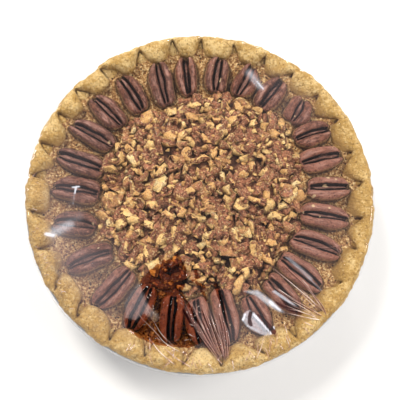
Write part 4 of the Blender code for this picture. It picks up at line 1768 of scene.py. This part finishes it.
WRINKLES = (
    Wrinkle(((139.2, 119.5), (141.0, 112.2), (148.7, 91.5)), 1.0, 0.6, 0.85, 0.30),
    Wrinkle(((138.8, 121.0), (141.5, 114.5), (148.7, 99.9)), 1.2, 0.6, 0.90, 0.20),
    Wrinkle(((137.3, 120.5), (138.6, 113.8), (143.2, 93.0), (149.2, 72.8)), 1.2, 0.7, 0.45, 0.98),
    Wrinkle(((138.0, 119.5), (141.5, 98.0), (145.9, 80.5)), 0.9, 0.5, 0.80, 0.40),
    Wrinkle(((135.9, 121.3), (137.6, 93.0), (140.0, 69.2)), 1.5, 0.6, 0.85, 0.15),
    Wrinkle(((136.4, 121.6), (134.9, 112.6), (134.2, 88.0), (134.7, 68.0)), 1.1, 0.6, 0.50, 0.95),
    Wrinkle(((172.6, 119.0), (173.2, 105.5), (175.0, 95.8), (178.4, 75.7)), 1.1, 0.5, 0.62, 0.60),
    Wrinkle((
        (186.0, 113.0), (192.7, 108.5), (197.9, 103.3), (204.0, 98.1), (209.5, 94.5),
    ), 0.8, 0.4, 0.75, 0.20),
    Wrinkle(((189.0, 110.5), (195.3, 102.8), (202.0, 93.4), (207.0, 88.0)), 0.8, 0.4, 0.65, 0.25),
    Wrinkle(((193.0, 113.0), (198.0, 103.0), (203.0, 95.0)), 0.6, 0.3, 0.35, 0.10),
    Wrinkle(((119.0, 112.0), (114.0, 102.0), (109.5, 91.0)), 1.1, 0.3, 0.30, 0.55),
    Wrinkle(((111.5, 109.0), (116.0, 97.0), (120.0, 84.0)), 1.0, 0.3, 0.28, 0.55),
    Wrinkle(((115.5, 108.0), (114.5, 97.0), (112.5, 86.0)), 0.9, 0.3, 0.25, 0.45),
    Wrinkle(((257.6, 89.6), (252.0, 90.0), (246.5, 91.0)), 0.6, 0.3, 0.40, 0.05),
    Wrinkle(((246.0, 91.2), (241.0, 93.0), (235.7, 95.0)), 0.6, 0.3, 0.30, 0.05),
    Wrinkle(((228.0, 62.0), (222.0, 70.0), (216.0, 80.0)), 1.3, 0.3, 0.14, 0.18),
    Wrinkle(((236.0, 66.0), (229.0, 75.0), (222.0, 84.0)), 1.3, 0.3, 0.12, 0.16),
    Wrinkle(((52.0, 118.0), (49.0, 109.0), (47.0, 100.0)), 0.7, 0.3, 0.18, 0.12),
    Wrinkle(((188.0, 120.5), (193.5, 115.0), (199.5, 108.0)), 1.3, 0.4, 0.75, 0.10),
    Wrinkle(((183.0, 121.0), (188.5, 116.0), (194.0, 110.0)), 1.3, 0.4, 0.70, 0.10),
    Wrinkle(((163.0, 121.0), (160.0, 114.0), (156.5, 106.0)), 1.2, 0.4, 0.65, 0.10),
    Wrinkle(((151.0, 121.0), (150.5, 114.0), (149.0, 106.0)), 1.2, 0.4, 0.65, 0.15),
)


@dataclass(frozen=True)
class Fan:
    """Pulled folds that spread between two outer ones from a gathered place.

    The outer folds' places are a bearing and a radius in millimetres, gathered end
    first; each other number is a lowest and a highest value.
    """

    first: tuple[tuple[float, float], ...]
    last: tuple[tuple[float, float], ...]
    count: int
    width: tuple[float, float]
    brightness: tuple[float, float]
    darkness: tuple[float, float]
    seed: int

    def wrinkles(self) -> list[Wrinkle]:
        """Return the fan's folds, uneven in place, length and strength."""
        chance = np.random.default_rng(self.seed)
        first, last = np.array(self.first), np.array(self.last)
        folds = []
        for number in range(self.count):
            path = first + (last - first) * (number + chance.uniform(0.2, 0.8)) / self.count
            path = path[0] + (path - path[0]) * chance.uniform(0.65, 1.0)
            path[:, 1] += chance.uniform(-3.0, 1.0)
            folds.append(Wrinkle(
                tuple(map(tuple, path)), chance.uniform(*self.width), 0.6,
                chance.uniform(*self.brightness), chance.uniform(*self.darkness), 0.35,
            ))
        return folds


@dataclass(frozen=True)
class Creases:
    """Short creases strewn over a stretch of the film.

    Each pair is a lowest and a highest value: bearings in degrees, lengths in
    millimetres.
    """

    bearings: tuple[float, float]
    radii: tuple[float, float]
    length: tuple[float, float]
    brightness: tuple[float, float]
    count: int
    seed: int
    width: float = 0.8

    def wrinkles(self) -> list[Wrinkle]:
        """Return the creases, running out from the pie's middle and leaning a little."""
        chance = np.random.default_rng(self.seed)
        folds = []
        for _ in range(self.count):
            bearing, radius = chance.uniform(*self.bearings), chance.uniform(*self.radii)
            lean, half = chance.uniform(-1.6, 1.6), 0.5 * chance.uniform(*self.length)
            path = ((bearing - lean, radius + half), (bearing, radius), (bearing + lean, radius - half))
            folds.append(Wrinkle(path, self.width, 0.3, chance.uniform(*self.brightness), 0.12))
        return folds


STREWN_WRINKLES = (
    Fan(
        ((174.0, 119.5), (178.0, 109.1), (182.6, 98.3), (188.0, 85.5), (192.3, 77.5)),
        ((171.5, 118.5), (171.1, 113.5), (169.9, 104.5), (169.4, 93.3), (170.7, 79.0)),
        17, (1.4, 2.8), (0.16, 0.48), (0.75, 1.0), 5,
    ),
    Fan(
        ((139.0, 120.5), (141.5, 114.0), (145.0, 105.0), (150.0, 97.0)),
        ((136.0, 121.3), (134.6, 110.0), (132.4, 96.0), (131.0, 80.0)),
        8, (0.8, 1.2), (0.60, 0.90), (0.2, 0.6), 6,
    ),
    Creases((142.0, 206.0), (112.0, 120.5), (4.0, 10.0), (0.35, 0.80), 28, 7, 1.4),
    Creases((222.0, 276.0), (115.0, 121.5), (2.5, 5.0), (0.45, 0.90), 18, 8),
    Creases((28.0, 66.0), (104.0, 117.0), (4.0, 9.0), (0.12, 0.25), 8, 9),
    Creases((177.0, 207.0), (78.0, 108.0), (0.8, 2.0), (0.45, 0.95), 26, 10),
)


@dataclass
class Film:
    """Clear film stretched over the pie, pulled down the tin and tucked under.

    Each milky part is its middle bearing, its spread in degrees and its strength.
    """

    finish: FilmFinish = FilmFinish()
    cell: float = 1.0 * MM
    cells: int = 272
    clearance: float = 0.25 * MM
    rest_radius: float = 119.0 * MM
    crown_height: float = 45.0 * MM
    lowest_height: float = 30.0 * MM
    smoothing_rounds: int = 420
    pull_down: float = 0.11 * MM
    slack: float = 0.0012 * MM
    fine_spans: tuple[tuple[float, float], ...] = ((18.0, 36.0), (126.0, 216.0), (238.0, 276.0))
    fine_step: float = 0.38
    coarse_step: float = 1.0
    fold_stations: int = 30
    milky: tuple[tuple[float, float, float], ...] = (
        (236.0, 42.0, 1.0), (112.0, 40.0, 0.18), (166.0, 28.0, 0.34), (42.0, 17.0, 0.30),
    )

    def build(self, contents: list[Piece]) -> list[Piece]:
        """Build the film over everything in the tin.

        Args:
            contents: The pieces that the film lies on.

        Returns:
            The wrap, one open sheet tucked under the base, and its sharp folds.
        """
        surface = self._settle(self._heights(contents))
        bearing = self._bearings()
        rings = [self._top(surface, bearing), self._edge(surface, bearing), self._skirt(bearing)]
        middle = np.array([self.cells / 2, self.cells / 2])
        hub = np.array([0.0, 0.0, float(bilinear(surface, middle))])
        wrap = turned_piece("film_wrap", np.concatenate(rings), hub)
        self._face_up(wrap)
        places = mesh_points(wrap)
        cover = CLING.cover(places)
        paint(wrap, "veil", self._veil(places) * (1.0 - cover))
        paint(wrap, "cling", cover)
        on_top = rise(places[:, 2], 40.0, 2.0)
        # Painted shade and painted highlights on the film's top.
        shadow = self._strongest(SHADOWS, places) * on_top
        paint(wrap, "shadow", shadow)
        paint(wrap, "sheen", self._strongest(PAINTED_SHEENS, places) * on_top * (1.0 - 0.95 * shadow))
        dress(wrap, self.finish.build("stretch_film"))
        folds = self._folds(surface)
        self._face_up(folds)
        # Warmer colours of the painted highlights on the folds.
        folded = FilmFinish(veil=(0.60, 0.33, 0.28), sheen=(0.90, 0.76, 0.66), whitening=(0.30, 0.60))
        dress(folds, folded.build("folded_film"))
        for piece in (wrap, folds):
            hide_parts("film")
        return [wrap, folds]

    @staticmethod
    def _strongest(patches: tuple[Patch, ...], points: Array) -> Array:
        """Return the strongest patch's strength at each point."""
        return np.max([patch.cover(points) for patch in patches], axis=0)

    def _heights(self, contents: list[Piece]) -> Array:
        """Return the height of what lies under each cell of a square grid."""
        heights = np.full((self.cells, self.cells), self.lowest_height)
        for piece in contents:
            points = mesh_points(piece)
            ends = np.zeros(len(piece.data.edges) * 2, dtype=np.int64)
            piece.data.edges.foreach_get("vertices", ends)
            points = np.concatenate([points, points[ends.reshape(-1, 2)].mean(axis=1)])
            raise_cells(heights, self.cell, points)
        return heights

    def _settle(self, heights: Array) -> Array:
        """Return the film's height: stretched over high points, drawn down where stuck."""
        middle = (np.arange(self.cells) - self.cells / 2) * self.cell
        across, up = np.meshgrid(middle, middle)
        places = np.stack([across, up, 0.0 * across], axis=-1)
        rim = np.hypot(across, up) > self.rest_radius
        floor = heights + self.clearance
        rim_height = blurred(blurred(spread_out(spread_out(floor))))
        pull = self.slack + self.pull_down * CLING.cover(places)
        surface = np.where(rim, rim_height, self.crown_height)
        for _ in range(self.smoothing_rounds):
            surface = np.maximum(blurred(surface) - pull, floor)
            surface = np.where(rim, rim_height, surface)
        return surface

    def _bearings(self) -> Array:
        """Return the columns' bearings, closest together where the film is wrinkled."""
        bearing, turns = 0.0, []
        while bearing < 359.9:
            turns.append(bearing)
            wrinkled = any(low < bearing < high for low, high in self.fine_spans)
            bearing += self.fine_step if wrinkled else self.coarse_step
        return np.array(turns)

    def _height(self, surface: Array, points: Array) -> Array:
        """Return the height of the film's upper face at places inside the rim."""
        height = bilinear(surface, points[..., :2] / self.cell + self.cells / 2)
        flat = points * [1.0, 1.0, 0.0]
        ripple = Lumps(71).layered(flat, 16.0 * MM, 2) * 0.10 * MM
        radius = np.hypot(points[..., 0], points[..., 1]) / MM
        drop = np.interp(radius, [119.5, 120.2, 122.3, 124.2], [0.0, 0.0, 0.7, 2.1]) * MM
        return height + ripple * (1.0 - CLING.cover(flat)) - drop

    def _top(self, surface: Array, bearing: Array) -> Array:
        """Return the rings of the film's upper face."""
        radii = np.concatenate([np.arange(3.0, 45.0, 3.0), np.arange(45.0, 119.6, 0.8)]) * MM
        points = around_axis(radii[:, None], np.radians(bearing), 0.0)
        points[..., 2] = self._height(surface, points)
        return points

    def _edge(self, surface: Array, bearing: Array) -> Array:
        """Return the rings that turn over the crimps and round the tin's bead."""
        corner = smooth_curve(
            np.array([
                (120.2, 45.0), (122.3, 44.3), (124.2, 42.9), (125.9, 40.6), (127.0, 37.8),
                (127.7, 35.2), (127.9, 33.6), (127.3, 32.1),
            ]), 13,
        ) * MM
        points = around_axis(corner[:, :1], np.radians(bearing), corner[:, 1:])
        inner = points[:1, :, :2] * (self.rest_radius / corner[0, 0]) / self.cell + self.cells / 2
        step = bilinear(surface, inner) - self.crown_height
        fade = np.linspace(1.0, 0.0, len(corner))[:, None] ** 1.5
        points[..., 2] += step * fade
        points[..., 2] += Lumps(72).layered(points, 5.0 * MM, 2) * 0.16 * MM * fade
        return points

    def _skirt(self, bearing: Array) -> Array:
        """Return the rings pulled down the tin's side and gathered under its base."""
        low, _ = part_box("film")
        profile = np.array([
            (125.6, 29.6), (121.3, 24.4), (116.0, 18.2), (110.6, 12.0), (105.5, 6.2), (101.6, 2.2),
            (99.4, 0.75), (97.0, 0.45), (91.0, 0.40), (82.0, 0.38), (72.0, 0.36), (62.0, 0.34),
            (52.0, 0.32),
        ]) * MM
        profile[:, 1] += low.z
        angle = np.radians(bearing)[None, :]
        radius, height = profile[:, :1], profile[:, 1:]
        share = np.linspace(0.0, 1.0, len(profile))[:, None]
        around = around_axis(9.0, angle, 0.0)
        pleat = Lumps(73).at(around * 1.6, 1.0) + 0.6 * Lumps(74).at(around * 4.0, 1.0)
        pleat = np.abs(pleat) ** 0.7 * smooth_step(share / 0.5) * 1.5 * MM
        under = smooth_step((share - 0.45) / 0.1)
        radius = radius + pleat * (1.0 - under)
        points = around_axis(radius, angle, height)
        points[..., 2] += np.minimum(pleat, 0.2 * MM) * under * 0.5
        return points

    def _folds(self, surface: Array) -> Piece:
        """Return the sharp folds, one narrow ridge for each wrinkle."""
        across = np.array([-0.5, -0.22, 0.0, 0.22, 0.5])
        raised = np.array([-0.15, 0.62, 1.0, 0.62, -0.15])
        along = np.linspace(0.0, 1.0, self.fold_stations)
        taper = smooth_step(along / 0.15) * 0.65 + 0.35
        points, faces, sheen, shadow = [], [], [], []
        wrinkles = list(WRINKLES)
        for group in STREWN_WRINKLES:
            wrinkles += group.wrinkles()
        for number, wrinkle in enumerate(wrinkles):
            line, side = wrinkle.line(self.fold_stations)
            fade = smooth_step(along / wrinkle.fade_in) * smooth_step((1.0 - along) / 0.30)
            sway = Lumps(300 + number).at(along[:, None] * [5.0, 0.0, 0.0], 1.0)
            line = line + side * (sway * 0.2 * MM * np.sin(math.pi * along))[:, None]
            wide = (wrinkle.width * taper * (0.5 + 0.5 * fade) * MM)[:, None] * across
            places = line[:, None, :] + wide[..., None] * side[:, None, :]
            ribbon = np.concatenate([places, np.zeros((*places.shape[:2], 1))], axis=-1)
            lift = (wrinkle.height * MM * taper * fade)[:, None] * raised
            ribbon[..., 2] = self._height(surface, ribbon) + lift
            start = len(points)
            points += ribbon.reshape(-1, 3).tolist()
            for row in range(self.fold_stations - 1):
                for column in range(len(across) - 1):
                    low = start + row * len(across) + column
                    faces.append((low, low + 1, low + len(across) + 1, low + len(across)))
            patchy = 0.75 + 0.35 * Lumps(400 + number).at(along[:, None] * [7.0, 0.0, 0.0], 1.0)
            # Painted highlight on one flank, painted shade on the other.
            bright = np.array([0.0, 1.0, 0.9, 0.1, 0.0]) * wrinkle.brightness
            dark = np.array([0.0, 0.0, 0.0, 1.0, 0.4]) * wrinkle.darkness
            sheen += ((fade * patchy)[:, None] * bright).ravel().tolist()
            shadow += (fade[:, None] * dark).ravel().tolist()
        data = bpy.data.meshes.new("film_folds")
        data.from_pydata(points, [], faces)
        piece = finish_mesh(data, "film_folds", 180.0)
        paint(piece, "sheen", np.array(sheen))
        paint(piece, "shadow", np.array(shadow))
        for name in ("veil", "cling"):
            paint(piece, name, np.zeros(len(points)))
        return piece

    @staticmethod
    def _face_up(piece: Piece) -> None:
        """Turn every face of the sheet that is the wrong way up, as a whole."""
        highest = max(piece.data.polygons, key=lambda face: abs(face.normal.z) * (face.center.z > 0.03))
        if highest.normal.z < 0.0:
            piece.data.flip_normals()

    def _veil(self, points: Array) -> Array:
        """Return how milky the film looks at each point."""
        radius = np.hypot(points[:, 0], points[:, 1])
        bearing = np.degrees(np.arctan2(points[:, 0], points[:, 1])) % 360.0
        hazes = [
            np.exp(-(((bearing - middle) / spread) ** 2)) * strength
            for middle, spread, strength in self.milky
        ]
        outward = rise(radius, 60.0, 35.0)
        outward = outward * (1.0 - 0.6 * rise(radius, 108.0, 8.0))
        cloud = 0.5 + 0.5 * Lumps(75).layered(points, 26.0 * MM, 3)
        level = 0.03 + 0.80 * np.max(hazes, axis=0) * outward
        return unit(level * (0.55 + 0.9 * cloud))


# --- Studio ---


@dataclass(frozen=True)
class SoftLamp:
    """A square studio lamp that faces the pie."""

    name: str
    place: tuple[float, float, float]
    size: float
    watts: float
    colour: Colour = (1.0, 1.0, 1.0)
    mirrored: bool = False


@dataclass
class Studio:
    """Floor, lamps, sky and camera."""

    camera_place: tuple[float, float, float] = (-0.01155, -0.08654, 0.35434)
    target: tuple[float, float, float] = (0.0, 0.0, 0.038)
    aside: float = 0.00102
    above: float = 0.00719
    lens: float = 40.77
    floor_half_side: float = 3.0
    floor_gap: float = 0.4 * MM
    lamp_target_height: float = 40.0 * MM
    sky: Colour = (0.95, 0.97, 1.0)
    sky_strength: float = 0.30
    lamps: tuple[SoftLamp, ...] = (
        SoftLamp("key_lamp", (-0.46, 0.62, 0.76), 0.36, 13.0, (1.0, 0.97, 0.92)),
        SoftLamp("fill_lamp", (0.70, 0.05, 0.70), 0.50, 5.8, (1.0, 0.97, 0.93)),
        SoftLamp("low_lamp", (0.10, -0.85, 0.55), 0.50, 4.0, (1.0, 0.97, 0.94)),
        SoftLamp("left_glint", (-0.78, 0.42, 0.34), 0.14, 1.6, (1.0, 1.0, 1.0), True),
        SoftLamp("back_glint", (0.25, 0.92, 0.42), 0.14, 1.6, (1.0, 1.0, 1.0), True),
        SoftLamp("right_glint", (0.85, 0.10, 0.40), 0.14, 1.2, (1.0, 1.0, 1.0), True),
    )

    def build(self) -> None:
        """Build the whole studio."""
        self._floor()
        self._sky()
        self._camera()
        for lamp in self.lamps:
            self._lamp(lamp)
        bpy.context.scene.view_settings.view_transform = "Standard"

    def _floor(self) -> None:
        """Lay a plain floor under the pie."""
        half = self.floor_half_side
        corners = [(-half, -half, 0.0), (half, -half, 0.0), (half, half, 0.0), (-half, half, 0.0)]
        data = bpy.data.meshes.new("floor")
        data.from_pydata(corners, [], [(0, 1, 2, 3)])
        low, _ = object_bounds()
        data.transform(Matrix.Translation((0.0, 0.0, low[2] - self.floor_gap)))
        floor = link(bpy.data.objects.new("floor", data))
        floor.data.materials.append(FloorFinish().build())
        floor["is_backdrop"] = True

    def _sky(self) -> None:
        """Light the scene all round."""
        world = bpy.data.worlds.new("studio_sky")
        world.use_nodes = True
        back = world.node_tree.nodes["Background"]
        back.inputs[0].default_value = (*self.sky, 1.0)
        back.inputs[1].default_value = self.sky_strength
        bpy.context.scene.world = world

    def _camera(self) -> None:
        """Set the camera at its viewing place."""
        place, target = Vector(self.camera_place), Vector(self.target)
        right, above, _ = self._axes(place, target)
        axes = self._axes(place, target - right * self.aside - above * self.above)
        data = bpy.data.cameras.new("camera")
        data.lens = self.lens
        data.clip_start = 0.01
        camera = link(bpy.data.objects.new("camera", data))
        turn = Matrix(axes).transposed().to_4x4()
        camera.matrix_world = Matrix.Translation(place) @ turn
        bpy.context.scene.camera = camera

    @staticmethod
    def _axes(place: Vector, target: Vector) -> tuple[Vector, Vector, Vector]:
        """Return the right, upward and backward directions of a camera facing a target."""
        back = (place - target).normalized()
        right = Vector((0.0, 1.0, 0.0)).cross(back).normalized()
        return right, back.cross(right), back

    def _lamp(self, lamp: SoftLamp) -> None:
        """Hang one lamp, facing the pie."""
        data = bpy.data.lights.new(lamp.name, "AREA")
        data.energy = lamp.watts
        data.size = lamp.size
        data.color = lamp.colour
        piece = link(bpy.data.objects.new(lamp.name, data))
        piece.visible_glossy = lamp.mirrored
        piece.location = lamp.place
        toward = Vector((0.0, 0.0, self.lamp_target_height)) - Vector(lamp.place)
        piece.rotation_euler = toward.to_track_quat("-Z", "Y").to_euler()


# --- The whole pie ---


@dataclass
class PecanPie:
    """The whole wrapped pie, built from the inside out."""

    tin: Tin = field(default_factory=Tin)
    crust: Crust = field(default_factory=Crust)
    filling: Filling = field(default_factory=Filling)
    bed: ChoppedBed = field(default_factory=ChoppedBed)
    film: Film = field(default_factory=Film)
    half_finish: HalfFinish = HalfFinish()

    def build(self, effects: SharedEffects) -> None:
        """Build every piece and report it."""
        contents = [self.tin.build(), self.crust.build(effects)]
        skin = self.half_finish.build(effects)
        halves = [
            PecanHalf(node, 100 + number).build(skin) for number, node in enumerate(HALF_NODES, start=1)
        ]
        contents.append(self.filling.build(effects, halves))
        contents += self.bed.build(effects) + halves
        contents += self.film.build(contents)
        for piece in contents:
            LOG.info("%s: %d faces", piece.name, len(piece.data.polygons))


def main() -> None:
    """Build the pie and its studio."""
    logging.basicConfig(level=logging.INFO, format="%(name)s: %(message)s")
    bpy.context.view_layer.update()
    PecanPie().build(SharedEffects())
    Studio().build()


if __name__ == "__main__":
    main()
